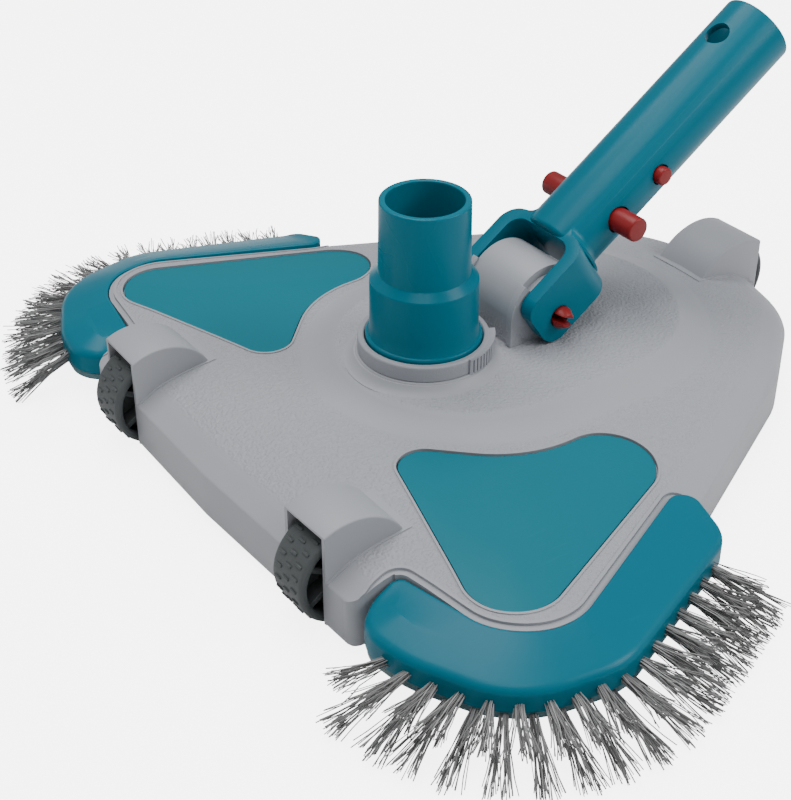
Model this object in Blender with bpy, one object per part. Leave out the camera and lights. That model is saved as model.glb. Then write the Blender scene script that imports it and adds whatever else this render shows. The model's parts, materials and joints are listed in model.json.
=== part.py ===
"""Manual vacuum head for a pool.

A weighted triangular body runs on three wheels and carries two curved side brushes, a swivelling hose
spigot held by a twist ring, and a tilting pole handle with a spring clip.

Lengths are in metres. Outlines and heights are given from the hose axis and the floor; one empty then moves
the whole model back so that its box is centred over the origin.
"""

import math

import bmesh
import bpy
from mathutils import Vector

MM = 0.001
GAP = 0.3 * MM
HOSE_AXIS_Y = -27.6 * MM

# Body shell: the outline is the right half, front to back, as (x, y, corner radius).
BODY_OUTLINE = [
    (0.1000, -0.0892, 0.020),
    (0.1420, -0.0720, 0.030),
    (0.1460, -0.0420, 0.030),
    (0.0700, 0.1120, 0.050),
    (0.0400, 0.1500, 0.042),
]
BODY_FRONT_Y = -0.0924
BODY_BACK_Y = 0.1622
BODY_CENTRE = (0.0, 0.020)
BODY_RAYS = 84
CAVITY_RAYS = 56
BODY_BOTTOM_Z = 0.0036
SIDE_TOP_Z = 0.0211
DECK_Z = 0.0296
WALL = 0.0030
CROWN = [(0.0, 0.0211), (0.0012, 0.0220), (0.006, 0.0244), (0.013, 0.0265), (0.022, 0.0280), (0.036, 0.0293)]
BACK_DROP = 0.0032
BACK_DROP_START_Y = 0.105

# Raised plateau round the hose collar and the handle lug.
PLATEAU_FRONT_Y = 0.020
PLATEAU_BACK_Y = 0.058
PLATEAU_STEPS = [(0.064, 0.0272), (0.061, 0.0296), (0.056, 0.0314), (0.051, 0.0337), (0.047, 0.0346)]
PLATEAU_Z = 0.0346

# Side brushes: the crescent outline of the right holder.
HOLDER_OUTLINE = [
    (0.0875, -0.0942, 0.014),
    (0.1120, -0.0908, 0.040),
    (0.1450, -0.0745, 0.036),
    (0.1518, -0.0380, 0.030),
    (0.1270, 0.0265, 0.009),
    (0.1022, 0.0293, 0.006),
    (0.1432, -0.0635, 0.0245),
    (0.0846, -0.0726, 0.0045),
]
HOLDER_INNER_Z = 0.0285
HOLDER_SHOULDER_Z = 0.0210
HOLDER_BOTTOM_Z = 0.0127
HOLDER_WALL = 0.0026
HOLDER_POCKET_Z = 0.0180
HOLDER_SLOPE_RUN = 0.020
STRIP_BOTTOM_Z = 0.0100
STRIP_TOP_Z = 0.0124
STRIP_INSET = 0.0006
LEDGE_OUTLINE = [
    (0.0800, -0.0860, 0.0),
    (0.0880, -0.0850, 0.003),
    (0.1240, -0.0770, 0.018),
    (0.1370, -0.0450, 0.015),
    (0.1120, 0.0240, 0.003),
    (0.1010, 0.0300, 0.0),
    (0.0970, 0.0260, 0.0),
    (0.1210, -0.0300, 0.0),
    (0.1200, -0.0600, 0.0),
    (0.0820, -0.0680, 0.0),
]
LEDGE_BOTTOM_Z = 0.0057
LEDGE_TOP_Z = 0.0097
UPPER_BRISTLE = {"length": 0.0175, "root": (0.0146, 0.0174), "tip": (0.0120, 0.0185)}
LOWER_BRISTLE = {"length": 0.0225, "root": (0.0102, 0.0122), "tip": (0.0010, 0.0046)}

# Weights and their covers: the outline of the right cover.
COVER_OUTLINE = [
    (0.0316, -0.0404, 0.0095),
    (0.1355, -0.0717, 0.016),
    (0.0665, 0.0982, 0.0163),
    (0.0665, -0.0055, 0.045),
]
COVER_TOP_Z = 0.0292
COVER_THICKNESS = 0.0024
COVER_LIP = 0.0035
WEIGHT_BOTTOM_Z = 0.0072
WEIGHT_TOP_Z = 0.0238

# Wheels, axles and the fenders over them.
WHEEL_RADIUS = 0.0180
WHEEL_WIDTH = 0.0164
WHEEL_GAP = 0.0010
AXLE_RADIUS = 0.0020
AXLE_HOLE_RADIUS = 0.0023
WELL_RADIUS = 0.0202
FRONT_WHEEL_X = 0.0604
FRONT_WHEEL_Y = -0.0805
FRONT_FENDER_HALF = 0.0107
FRONT_FENDER_RADIUS = 0.0229
FRONT_FENDER_FACE_Y = -0.0909
FRONT_MOUTH_TOP_Z = 0.0378
REAR_WHEEL_Y = 0.1515
REAR_WELL_RADIUS = 0.0192
REAR_FENDER_HALF = 0.0121
REAR_FENDER_RADIUS = 0.0253
REAR_FENDER_CENTRE_Y = 0.1490
REAR_FENDER_CENTRE_Z = 0.0138
REAR_FENDER_FACE_Y = 0.1612
REAR_MOUTH_TOP_Z = 0.0350

# Hose spigot, its seal and the twist ring.
SPIGOT_TOP_Z = 0.0971
SPIGOT_BORE = 0.0136
SPIGOT_UPPER_RADIUS = (0.0160, 0.0163)
SPIGOT_LOWER_RADIUS = 0.0193
SPIGOT_STEP_Z = (0.0665, 0.0735)
SPIGOT_FOOT_RADIUS = 0.0209
SPIGOT_FLANGE = (0.0226, 0.0354, 0.0380)
SPIGOT_TAIL = (0.0170, 0.0262)
COLLAR_TOP_Z = 0.0382
COLLAR_RADIUS = 0.0246
COLLAR_BASE_RADIUS = 0.0290
COUNTERBORE = (0.0231, 0.0330)
PORT_RADIUS = 0.0175
RING_Z = (0.0385, 0.0443)
RING_RADIUS = 0.0238
RING_BORE = 0.0214
RING_GRIP_RADIUS = 0.0247
RING_GRIP_DEG = (5.0, 62.0)

# Handle lug, yoke and tube. The tube frame has Y along the tube and Z across it.
PIVOT_Y = 0.0456
PIVOT_Z = 0.0452
HANDLE_TILT = math.radians(33.7)
LUG_RADIUS = 0.0172
LUG_HALF = 0.0126
CHEEK_HALF = 0.0150
CHEEK_STEP_RADIUS = 0.0135
CHEEK_STEP_DEG = 132.0
PIN_RADIUS = 0.0040
PIN_HOLE_RADIUS = 0.0043
EAR_INNER = 0.0156
EAR_OUTER = 0.0212
EAR_FRONT = -0.0100
EAR_CORNER_RADII = (0.0072, 0.0060)
YOKE_SPAN = (-0.0084, 0.0146)
YOKE_POCKET_END = 0.0202
YOKE_END = 0.0236
TUBE_OFFSET = 0.0038
TUBE_RADIUS = 0.01435
TUBE_BORE = 0.01175
TUBE_START = 0.0208
TUBE_BORE_START = 0.0345
TUBE_END = 0.1346
TUBE_HOLE = (0.1180, 0.0048)

# Spring clip inside the tube.
BIG_BUTTON = {"along": 0.0415, "radius": 0.0046, "end": 0.0245}
SMALL_BUTTON = {"along": 0.0645, "radius": 0.0034, "end": 0.0170}
BUTTON_CLEARANCE = 0.0006
CLIP_STRIP = {"inner": 0.0090, "outer": 0.0104, "half_height": 0.0038, "start": 0.0358, "end": 0.0745}
CLIP_BEND_END = 0.0805

# Screws: (x, y) for the base plate and for each brush.
PLATE_SCREWS = [(0.030, -0.072), (0.086, 0.050), (0.038, 0.118)]
BRUSH_SCREWS = [(0.1110, -0.0795), (0.1310, -0.0230)]
SCREW_RADIUS = 0.0015
SCREW_HOLE = 0.0019
SCREW_CLEAR_HOLE = 0.0022
SCREW_HEAD = (0.0036, 0.0012)
BOSS_RADIUS = 0.0040
PLATE_Z = (0.0040, 0.0065)
SUCTION_SLOT = (0.038, -0.030, 0.045, 0.012)

GREY_PLASTIC = ((0.38, 0.39, 0.41), 0.42, 0.0)
TEAL_PLASTIC = ((0.0, 0.17, 0.24), 0.32, 0.0)
STRIP_PLASTIC = ((0.22, 0.34, 0.37), 0.35, 0.0)
RED_PLASTIC = ((0.37, 0.02, 0.02), 0.35, 0.0)
WHEEL_PLASTIC = ((0.09, 0.105, 0.11), 0.55, 0.0)
BRISTLE_NYLON = ((0.19, 0.19, 0.19), 0.60, 0.0)
STEEL = ((0.55, 0.56, 0.57), 0.30, 1.0)
CAST_IRON = ((0.10, 0.10, 0.10), 0.60, 1.0)
RUBBER = ((0.02, 0.02, 0.02), 0.70, 0.0)


# ---------------------------------------------------------------- outlines


def arc(centre, radius, start, end, count):
    """Points on an arc, ends included; angles in radians."""
    turns = [start + (end - start) * i / count for i in range(count + 1)]
    return [(centre[0] + radius * math.cos(a), centre[1] + radius * math.sin(a)) for a in turns]


def rounded(corners, step=math.radians(14)):
    """Closed outline through corners (x, y, radius), with each corner as an arc."""
    points = []
    for i, (x, y, radius) in enumerate(corners):
        corner = Vector((x, y))
        before = (Vector(corners[i - 1][:2]) - corner).normalized()
        after = (Vector(corners[(i + 1) % len(corners)][:2]) - corner).normalized()
        angle = before.angle(after)
        if radius <= 0.0 or angle > math.pi - 0.002:
            points.append((x, y))
            continue
        centre = corner + (before + after).normalized() * (radius / math.sin(angle / 2))
        reach = radius / math.tan(angle / 2)
        first = corner + before * reach - centre
        last = corner + after * reach - centre
        turn = math.atan2(first.x * last.y - first.y * last.x, first.dot(last))
        start = math.atan2(first.y, first.x)
        count = max(2, math.ceil(abs(turn) / step))
        points += arc(centre, radius, start, start + turn, count)
    return points


def moved_in(corners, distance, smallest=0.0015):
    """The same anticlockwise outline with every side moved inwards by distance (outwards if negative)."""
    lines = []
    for i, (x, y, _) in enumerate(corners):
        nx, ny, _ = corners[(i + 1) % len(corners)]
        along = Vector((nx - x, ny - y)).normalized()
        lines.append((Vector((x, y)) + Vector((-along.y, along.x)) * distance, along))
    result = []
    for i, (_, _, radius) in enumerate(corners):
        (p, d), (q, e) = lines[i - 1], lines[i]
        cross = d.x * e.y - d.y * e.x
        shift = ((q - p).x * e.y - (q - p).y * e.x) / cross if abs(cross) > 1e-6 else d.dot(q - p)
        point = p + d * shift
        bends_in = cross < 0
        new_radius = radius + distance if bends_in else radius - distance
        result.append((point.x, point.y, max(new_radius, smallest) if radius else 0.0))
    return result


def mirrored(points):
    """The outline on the other side of the symmetry plane, still anticlockwise."""
    return [(-p[0], *p[1:]) for p in reversed(points)]


def body_corners():
    """All corners of the body outline, anticlockwise from the middle of the front."""
    left = [(-x, y, r) for x, y, r in reversed(BODY_OUTLINE)]
    return [(0.0, BODY_FRONT_Y, 0.0), *BODY_OUTLINE, (0.0, BODY_BACK_Y, 0.0), *left]


def ray_ring(outline, centre, count):
    """Where evenly turned rays from the centre meet an outline that they cross once."""
    ring = []
    for i in range(count):
        angle = math.tau * i / count - math.pi / 2
        dx, dy = math.cos(angle), math.sin(angle)
        far = 0.0
        for (ax, ay), (bx, by) in zip(outline, outline[1:] + outline[:1]):
            ex, ey = bx - ax, by - ay
            cross = dx * ey - dy * ex
            if abs(cross) < 1e-12:
                continue
            reach = ((ax - centre[0]) * ey - (ay - centre[1]) * ex) / cross
            along = ((ax - centre[0]) * dy - (ay - centre[1]) * dx) / cross
            if -1e-6 <= along <= 1 + 1e-6 and reach > far:
                far = reach
        ring.append((centre[0] + dx * far, centre[1] + dy * far))
    return ring


def crown_height(inset, y):
    """Height of the body's crowned top at a distance inside its outline."""
    height = DECK_Z
    for (d0, z0), (d1, z1) in zip(CROWN, CROWN[1:]):
        if inset <= d1:
            height = z0 + (z1 - z0) * (inset - d0) / (d1 - d0)
            break
    back = min(max((y - BACK_DROP_START_Y) / (BODY_BACK_Y - BACK_DROP_START_Y), 0.0), 1.0)
    return height - BACK_DROP * back * max(0.0, 1.0 - inset / CROWN[-1][0])


# ---------------------------------------------------------------- meshes


def mesh_from(vertices, faces):
    """A mesh with merged points and faces that point out."""
    shape = bmesh.new()
    made = [shape.verts.new(v) for v in vertices]
    for face in faces:
        shape.faces.new([made[i] for i in face])
    bmesh.ops.remove_doubles(shape, verts=shape.verts, dist=1e-6)
    bmesh.ops.dissolve_degenerate(shape, edges=shape.edges, dist=1e-6)
    bmesh.ops.recalc_face_normals(shape, faces=shape.faces)
    mesh = bpy.data.meshes.new("mesh")
    shape.to_mesh(mesh)
    shape.free()
    return mesh


def loft(rings):
    """A solid through rings of the same number of 3-D points, flat-capped at both ends."""
    count = len(rings[0])
    vertices = [p for ring in rings for p in ring]
    faces = []
    for level in range(len(rings) - 1):
        for i in range(count):
            a = level * count + i
            b = level * count + (i + 1) % count
            faces.append((a, b, b + count, a + count))
    faces.append(tuple(reversed(range(count))))
    faces.append(tuple(range(len(vertices) - count, len(vertices))))
    return mesh_from(vertices, faces)


def prism(outline, low, high, axis="z"):
    """An outline pushed from low to high along an axis: (x, y) for z, (y, z) for x."""
    if axis == "z":
        return loft([[(x, y, h) for x, y in outline] for h in (low, high)])
    return loft([[(h, y, z) for y, z in outline] for h in (low, high)])


def block(low, high):
    """A box between two corners."""
    outline = [(low[0], low[1]), (high[0], low[1]), (high[0], high[1]), (low[0], high[1])]
    return prism(outline, low[2], high[2])


def turned(profile, segments, axis="z", centre=(0.0, 0.0, 0.0)):
    """A closed profile of (radius, height) turned round an axis; radius 0 closes onto it."""
    rings = []
    vertices = []
    for radius, height in profile:
        count = segments if radius > 0 else 1
        rings.append(range(len(vertices), len(vertices) + count))
        for i in range(count):
            angle = math.tau * i / segments
            across, up = radius * math.cos(angle), radius * math.sin(angle)
            point = {"z": (across, up, height), "x": (height, across, up), "y": (across, height, up)}[axis]
            vertices.append(tuple(p + c for p, c in zip(point, centre)))
    faces = []
    solid = profile[0][0] == 0
    pairs = list(zip(rings, rings[1:])) if solid else list(zip(rings, rings[1:] + rings[:1]))
    for lower, upper in pairs:
        for i in range(segments):
            j = (i + 1) % segments
            face = [lower[i % len(lower)], lower[j % len(lower)], upper[j % len(upper)], upper[i % len(upper)]]
            face = list(dict.fromkeys(face))
            if len(face) > 2:
                faces.append(face)
    return mesh_from(vertices, faces)


def rod(radius, low, high, axis="z", centre=(0.0, 0.0, 0.0), segments=20):
    """A plain cylinder along an axis."""
    return turned([(0.0, low), (radius, low), (radius, high), (0.0, high)], segments, axis, centre)


# ---------------------------------------------------------------- scene


def clear_scene():
    """Remove whatever the scene holds."""
    for old in list(bpy.data.objects):
        bpy.data.objects.remove(old, do_unlink=True)


def finish(name, look):
    """A Principled material of a colour, a roughness and a metallic value."""
    colour, roughness, metallic = look
    material = bpy.data.materials.new(name)
    material.use_nodes = True
    shader = material.node_tree.nodes["Principled BSDF"]
    shader.inputs["Base Color"].default_value = (*colour, 1.0)
    shader.inputs["Roughness"].default_value = roughness
    shader.inputs["Metallic"].default_value = metallic
    return material


def anchor(name, parent=None, location=(0.0, 0.0, 0.0), tilt=0.0):
    """An empty that other pieces hang from."""
    empty = bpy.data.objects.new(name, None)
    bpy.context.collection.objects.link(empty)
    empty.parent = parent
    empty.location = location
    empty.rotation_euler = (tilt, 0.0, 0.0)
    return empty


def add(name, mesh, look, parent, location=(0.0, 0.0, 0.0), round_shape=False):
    """A named piece with its own material."""
    mesh.name = name
    piece = bpy.data.objects.new(name, mesh)
    bpy.context.collection.objects.link(piece)
    mesh.materials.append(finish(name, look))
    piece.parent = parent
    piece.location = location
    if round_shape:
        mesh.shade_smooth()
        mesh.set_sharp_from_angle(angle=math.radians(35))
    return piece


def hidden(mesh, parent):
    """A shape that is only used to change another one."""
    cutter = bpy.data.objects.new(f"{parent.name}_cutter", mesh)
    bpy.context.collection.objects.link(cutter)
    cutter.parent = parent
    cutter.hide_render = True
    cutter.display_type = "WIRE"
    return cutter


def combine(piece, operation, *shapes):
    """Add meshes or hidden shapes (UNION), take them away (DIFFERENCE) or keep what is shared (INTERSECT)."""
    for shape in shapes:
        modifier = piece.modifiers.new(operation.title(), "BOOLEAN")
        modifier.operation = operation
        modifier.solver = "EXACT"
        modifier.object = shape if isinstance(shape, bpy.types.Object) else hidden(shape, piece)


def both_sides(points):
    """A right-hand outline or point list, with the name of each side."""
    return (("right", list(points)), ("left", mirrored(points)))


# ---------------------------------------------------------------- body


def body_ring(inset, height, count):
    """One level of the body; a height of None follows the crowned top."""
    ring = ray_ring(rounded(moved_in(body_corners(), inset, 0.006)), BODY_CENTRE, count)
    return [(x, y, crown_height(inset, y) if height is None else height) for x, y in ring]


def body_blank():
    """The solid triangular body with its crowned top."""
    count = BODY_RAYS
    levels = [(0.0014, BODY_BOTTOM_Z), (0.0003, BODY_BOTTOM_Z + 0.0012)]
    rings = [body_ring(inset, height, count) for inset, height in levels]
    rings += [body_ring(inset, None, count) for inset, _ in CROWN]
    rings.append(body_ring(CROWN[-1][0] + 0.012, DECK_Z, count))
    return loft(rings)


def cavity_mesh():
    """The space under the top wall."""
    count = CAVITY_RAYS
    levels = [(WALL, -0.001), (WALL, 0.0150), (0.007, 0.0195), (0.014, 0.0220), (0.026, 0.0238)]
    return loft([body_ring(inset, height, count) for inset, height in levels])


def plateau_mesh():
    """The raised plateau, a stadium with a hollowed slope."""
    rings = []
    for radius, height in PLATEAU_STEPS:
        back = arc((0.0, PLATEAU_BACK_Y), radius, 0.0, math.pi, 16)
        front = arc((0.0, PLATEAU_FRONT_Y), radius, math.pi, math.tau, 16)
        rings.append([(x, y, height) for x, y in back + front])
    return loft(rings)


def fender_mesh(centre_y, centre_z, radius, face_y, half, x=0.0):
    """A fender: flat sides, a top that is part of a cylinder across the body, and a flat mouth."""
    toward = 1.0 if face_y > centre_y else -1.0
    inner_z = DECK_Z - 0.004
    inner_y = math.sqrt(radius**2 - (inner_z - centre_z) ** 2)
    start = math.atan2(inner_z - centre_z, inner_y)
    end = math.acos(-abs(face_y - centre_y) / radius)
    top = [(centre_y - toward * u, z) for u, z in arc((0.0, centre_z), radius, start, end, 14)]
    outline = [(centre_y - toward * inner_y, BODY_BOTTOM_Z), *top, (face_y, BODY_BOTTOM_Z)]
    return prism(outline, x - half, x + half, "x")


def lug_profile(radius, step_radius=None):
    """Side outline of the lug; with a step, the top falls back to a smaller radius."""
    centre = (PIVOT_Y, PIVOT_Z)
    floor = PLATEAU_Z - 0.004
    back_radius = step_radius or radius
    points = [(PIVOT_Y - radius, floor)]
    if step_radius is None:
        points += arc(centre, radius, math.pi, 0.0, 20)
    else:
        step = math.radians(CHEEK_STEP_DEG)
        points += arc(centre, radius, math.pi, step, 6)
        points += arc(centre, step_radius, step, 0.0, 12)
    points.append((PIVOT_Y + back_radius, floor))
    return points


def build_top_shell(root):
    """The casing: walls, fenders, wheel wells, collar, lug, ledges and recesses in one moulding."""
    shell = add("top_shell", body_blank(), GREY_PLASTIC, root)
    cavity = hidden(cavity_mesh(), shell)
    for _, outline in both_sides(moved_in(HOLDER_OUTLINE, -WALL - GAP)):
        combine(cavity, "DIFFERENCE", prism(rounded(outline), -0.002, 0.060))
    combine(shell, "DIFFERENCE", cavity)

    seat = moved_in(HOLDER_OUTLINE, -GAP - 0.0001)
    for _, outline in both_sides(seat):
        combine(shell, "DIFFERENCE", prism(rounded(outline), -0.002, 0.060))
    combine(shell, "UNION", plateau_mesh())
    reach = moved_in(HOLDER_OUTLINE, 0.0005 - WALL)
    for (_, outline), (_, limit) in zip(both_sides(LEDGE_OUTLINE), both_sides(reach)):
        ledge = hidden(prism(rounded(outline), LEDGE_BOTTOM_Z, LEDGE_TOP_Z), shell)
        combine(ledge, "INTERSECT", prism(rounded(limit), 0.0, 0.020))
        combine(shell, "UNION", ledge)

    for x in (FRONT_WHEEL_X, -FRONT_WHEEL_X):
        fender = fender_mesh(
            FRONT_WHEEL_Y, WHEEL_RADIUS, FRONT_FENDER_RADIUS, FRONT_FENDER_FACE_Y, FRONT_FENDER_HALF, x
        )
        journal = block((x - 0.0142, -0.0860, 0.0060), (x + 0.0142, -0.0750, 0.0215))
        combine(shell, "UNION", fender, journal)
    rear = fender_mesh(
        REAR_FENDER_CENTRE_Y, REAR_FENDER_CENTRE_Z, REAR_FENDER_RADIUS, REAR_FENDER_FACE_Y, REAR_FENDER_HALF
    )
    rear_journal = block((-0.0150, REAR_WHEEL_Y - 0.0055, 0.0060), (0.0150, REAR_WHEEL_Y + 0.0055, 0.0195))
    combine(shell, "UNION", rear, rear_journal)

    bosses = [(s * x, y) for x, y in PLATE_SCREWS for s in (1, -1)]
    for x, y in bosses:
        combine(shell, "UNION", rod(BOSS_RADIUS, PLATE_Z[1] + GAP, 0.0232, centre=(x, y, 0.0), segments=14))

    collar = [
        (0.0, 0.0300),
        (COLLAR_BASE_RADIUS, 0.0300),
        (COLLAR_BASE_RADIUS, PLATEAU_Z + 0.0003),
        (COLLAR_RADIUS + 0.0008, COLLAR_TOP_Z - 0.0012),
        (COLLAR_RADIUS, COLLAR_TOP_Z),
        (0.0, COLLAR_TOP_Z),
    ]
    combine(shell, "UNION", turned(collar, 40))
    combine(shell, "UNION", prism(lug_profile(LUG_RADIUS), -LUG_HALF, LUG_HALF, "x"))
    cheeks = prism(lug_profile(LUG_RADIUS + 0.0004, CHEEK_STEP_RADIUS), -CHEEK_HALF, CHEEK_HALF, "x")
    combine(shell, "UNION", cheeks)

    half = WHEEL_WIDTH / 2 + WHEEL_GAP
    for x in (FRONT_WHEEL_X, -FRONT_WHEEL_X):
        well = rod(WELL_RADIUS, -half, half, "x", (x, FRONT_WHEEL_Y, WHEEL_RADIUS), 36)
        mouth = block((x - half, -0.1100, -0.0010), (x + half, FRONT_WHEEL_Y, FRONT_MOUTH_TOP_Z))
        axle = rod(AXLE_HOLE_RADIUS, -0.0127, 0.0127, "x", (x, FRONT_WHEEL_Y, WHEEL_RADIUS), 16)
        combine(shell, "DIFFERENCE", well, mouth, axle)
    well = rod(REAR_WELL_RADIUS, -half, half, "x", (0.0, REAR_WHEEL_Y, WHEEL_RADIUS), 36)
    mouth = block((-half, REAR_WHEEL_Y, -0.0010), (half, 0.1800, REAR_MOUTH_TOP_Z))
    axle = rod(AXLE_HOLE_RADIUS, -0.0137, 0.0137, "x", (0.0, REAR_WHEEL_Y, WHEEL_RADIUS), 16)
    combine(shell, "DIFFERENCE", well, mouth, axle)

    port = [
        (0.0, 0.0180),
        (PORT_RADIUS, 0.0180),
        (PORT_RADIUS, COUNTERBORE[1]),
        (COUNTERBORE[0], COUNTERBORE[1]),
        (COUNTERBORE[0], 0.0500),
        (0.0, 0.0500),
    ]
    combine(shell, "DIFFERENCE", turned(port, 36))
    pin_hole = rod(PIN_HOLE_RADIUS, -0.0200, 0.0200, "x", (0.0, PIVOT_Y, PIVOT_Z), 24)
    combine(shell, "DIFFERENCE", pin_hole)

    recess_floor = COVER_TOP_Z - COVER_THICKNESS - GAP
    for _, outline in both_sides(moved_in(COVER_OUTLINE, -0.0004)):
        combine(shell, "DIFFERENCE", prism(rounded(outline), recess_floor, 0.0500))
    for _, outline in both_sides(moved_in(COVER_OUTLINE, COVER_LIP)):
        combine(shell, "DIFFERENCE", prism(rounded(outline), 0.0080, 0.0500))
    for x, y in bosses:
        combine(shell, "DIFFERENCE", rod(SCREW_HOLE, 0.0, 0.0185, centre=(x, y, 0.0), segments=12))
    for x, y in [(s * x, y) for x, y in BRUSH_SCREWS for s in (1, -1)]:
        combine(shell, "DIFFERENCE", rod(SCREW_CLEAR_HOLE, 0.0, 0.0110, centre=(x, y, 0.0), segments=12))
    return shell


def build_base_plate(root):
    """The plate that closes the body from below, with the suction slot in its middle."""
    outline = [(x, y) for x, y, _ in body_ring(WALL + GAP, 0.0, CAVITY_RAYS)]
    plate = add("base_plate", prism(outline, *PLATE_Z), GREY_PLASTIC, root)
    for _, walls in both_sides(moved_in(HOLDER_OUTLINE, -WALL - 3 * GAP)):
        combine(plate, "DIFFERENCE", prism(rounded(walls), -0.002, 0.020))
    half, front, back, radius = SUCTION_SLOT
    slot = [(-half, front, radius), (half, front, radius), (half, back, radius), (-half, back, radius)]
    combine(plate, "DIFFERENCE", prism(rounded(slot), -0.002, 0.020))
    for x in (FRONT_WHEEL_X, -FRONT_WHEEL_X):
        combine(plate, "DIFFERENCE", block((x - 0.0147, -0.1000, 0.0), (x + 0.0147, -0.0566, 0.0200)))
    combine(plate, "DIFFERENCE", block((-0.0155, 0.1225, 0.0), (0.0155, 0.1800, 0.0200)))
    for x, y in [(s * x, y) for x, y in PLATE_SCREWS for s in (1, -1)]:
        hole = rod(SCREW_CLEAR_HOLE, 0.0, 0.0100, centre=(x, y, 0.0), segments=12)
        sink_top = PLATE_Z[0] + SCREW_HEAD[1] + GAP
        sink = rod(SCREW_HEAD[0] + GAP, 0.0, sink_top, centre=(x, y, 0.0), segments=16)
        combine(plate, "DIFFERENCE", hole, sink)
    return plate


def build_screws(root):
    """Base plate screws and brush screws, each one its own piece."""
    number = 0
    for x, y in PLATE_SCREWS:
        for side in (1, -1):
            number += 1
            add(f"base_screw_{number}", screw_mesh(0.0165 - PLATE_Z[0]), STEEL, root,
                (side * x, y, PLATE_Z[0]), True)
    number = 0
    for x, y in BRUSH_SCREWS:
        for side in (1, -1):
            number += 1
            low = LEDGE_BOTTOM_Z - GAP - SCREW_HEAD[1]
            add(f"brush_screw_{number}", screw_mesh(0.0158 - low), STEEL, root, (side * x, y, low), True)


def screw_mesh(length):
    """A screw standing on its head, with a conical point."""
    head_radius, head_height = SCREW_HEAD
    profile = [
        (0.0, 0.0),
        (head_radius, 0.0),
        (head_radius, head_height),
        (SCREW_RADIUS, head_height),
        (SCREW_RADIUS, length - 0.0012),
        (0.0, length),
    ]
    return turned(profile, 12)


def build_weights(root):
    """The two weights and the covers set flush over them."""
    for side, outline in both_sides(moved_in(COVER_OUTLINE, COVER_LIP + 0.0006)):
        add(f"weight_{side}", prism(rounded(outline), WEIGHT_BOTTOM_Z, WEIGHT_TOP_Z), CAST_IRON, root)
    for side, outline in both_sides(COVER_OUTLINE):
        low = COVER_TOP_Z - COVER_THICKNESS
        add(f"weight_cover_{side}", prism(rounded(outline, math.radians(9)), low, COVER_TOP_Z), TEAL_PLASTIC, root)


# ---------------------------------------------------------------- brushes


def outer_path(outline, first=(0.1010, -0.0924)):
    """The outer side of the crescent from first to its rear end, sampled evenly."""
    dense = rounded(outline, math.radians(5))
    start = min(range(len(dense)), key=lambda i: math.dist(dense[i], first))
    end = min(range(len(dense)), key=lambda i: math.dist(dense[i], (0.1310, 0.0170)))
    path = dense[start : end + 1]
    lengths = [0.0]
    for a, b in zip(path, path[1:]):
        lengths.append(lengths[-1] + math.dist(a, b))
    samples = []
    count = 22
    for i in range(count + 1):
        target = lengths[-1] * i / count
        k = min(max(j for j, s in enumerate(lengths) if s <= target + 1e-9), len(path) - 2)
        share = (target - lengths[k]) / (lengths[k + 1] - lengths[k])
        samples.append(tuple(a + (b - a) * share for a, b in zip(path[k], path[k + 1])))
    return samples


def holder_mesh(side):
    """The brush holder: a crescent whose top slopes down to a rounded shoulder."""
    outline = rounded(HOLDER_OUTLINE, math.radians(10))
    far_side = outer_path(HOLDER_OUTLINE, (0.0880, -0.0865))
    levels = []
    for inset, share in ((0.0, 0.0), (0.0009, 0.55), (0.0024, 1.0)):
        ring = rounded(moved_in(HOLDER_OUTLINE, inset, 0.001), math.radians(10))
        heights = []
        for point in ring:
            run = min(edge_distance_open(point, far_side), HOLDER_SLOPE_RUN) / HOLDER_SLOPE_RUN
            top = HOLDER_SHOULDER_Z + (HOLDER_INNER_Z - HOLDER_SHOULDER_Z) * run**0.8
            heights.append(top - 0.0018 * (1.0 - share) ** 2)
        levels.append([(x, y, z) for (x, y), z in zip(ring, heights)])
    base = [(x, y, HOLDER_BOTTOM_Z) for x, y in outline]
    rings = [base, *levels]
    if side == "left":
        rings = [[(-x, y, z) for x, y, z in reversed(ring)] for ring in rings]
    return loft(rings)


def edge_distance_open(point, path):
    """Distance from a point to an open path."""
    best = 1.0
    for (ax, ay), (bx, by) in zip(path, path[1:]):
        start, along = Vector((ax, ay)), Vector((bx - ax, by - ay))
        if along.length < 1e-9:
            continue
        share = min(max((Vector(point) - start).dot(along) / along.length_squared, 0.0), 1.0)
        best = min(best, (Vector(point) - start - along * share).length)
    return best


def skirt_mesh(side, sizes, inset):
    """A band of bristles as one solid, fanning out and down from its root."""
    path = outer_path(moved_in(HOLDER_OUTLINE, inset))
    sections = []
    for i, point in enumerate(path):
        along = Vector(path[min(i + 1, len(path) - 1)]) - Vector(path[max(i - 1, 0)])
        out = Vector((along.y, -along.x)).normalized()
        root = Vector(point) + out * (GAP + 0.0001)
        tip = root + out * sizes["length"]
        section = [(root, sizes["root"][0]), (tip, sizes["tip"][0]), (tip, sizes["tip"][1]), (root, sizes["root"][1])]
        sections.append([(p.x, p.y, z) for p, z in section])
    if side == "left":
        sections = [[(-x, y, z) for x, y, z in section] for section in sections]
    return loft(sections)


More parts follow.
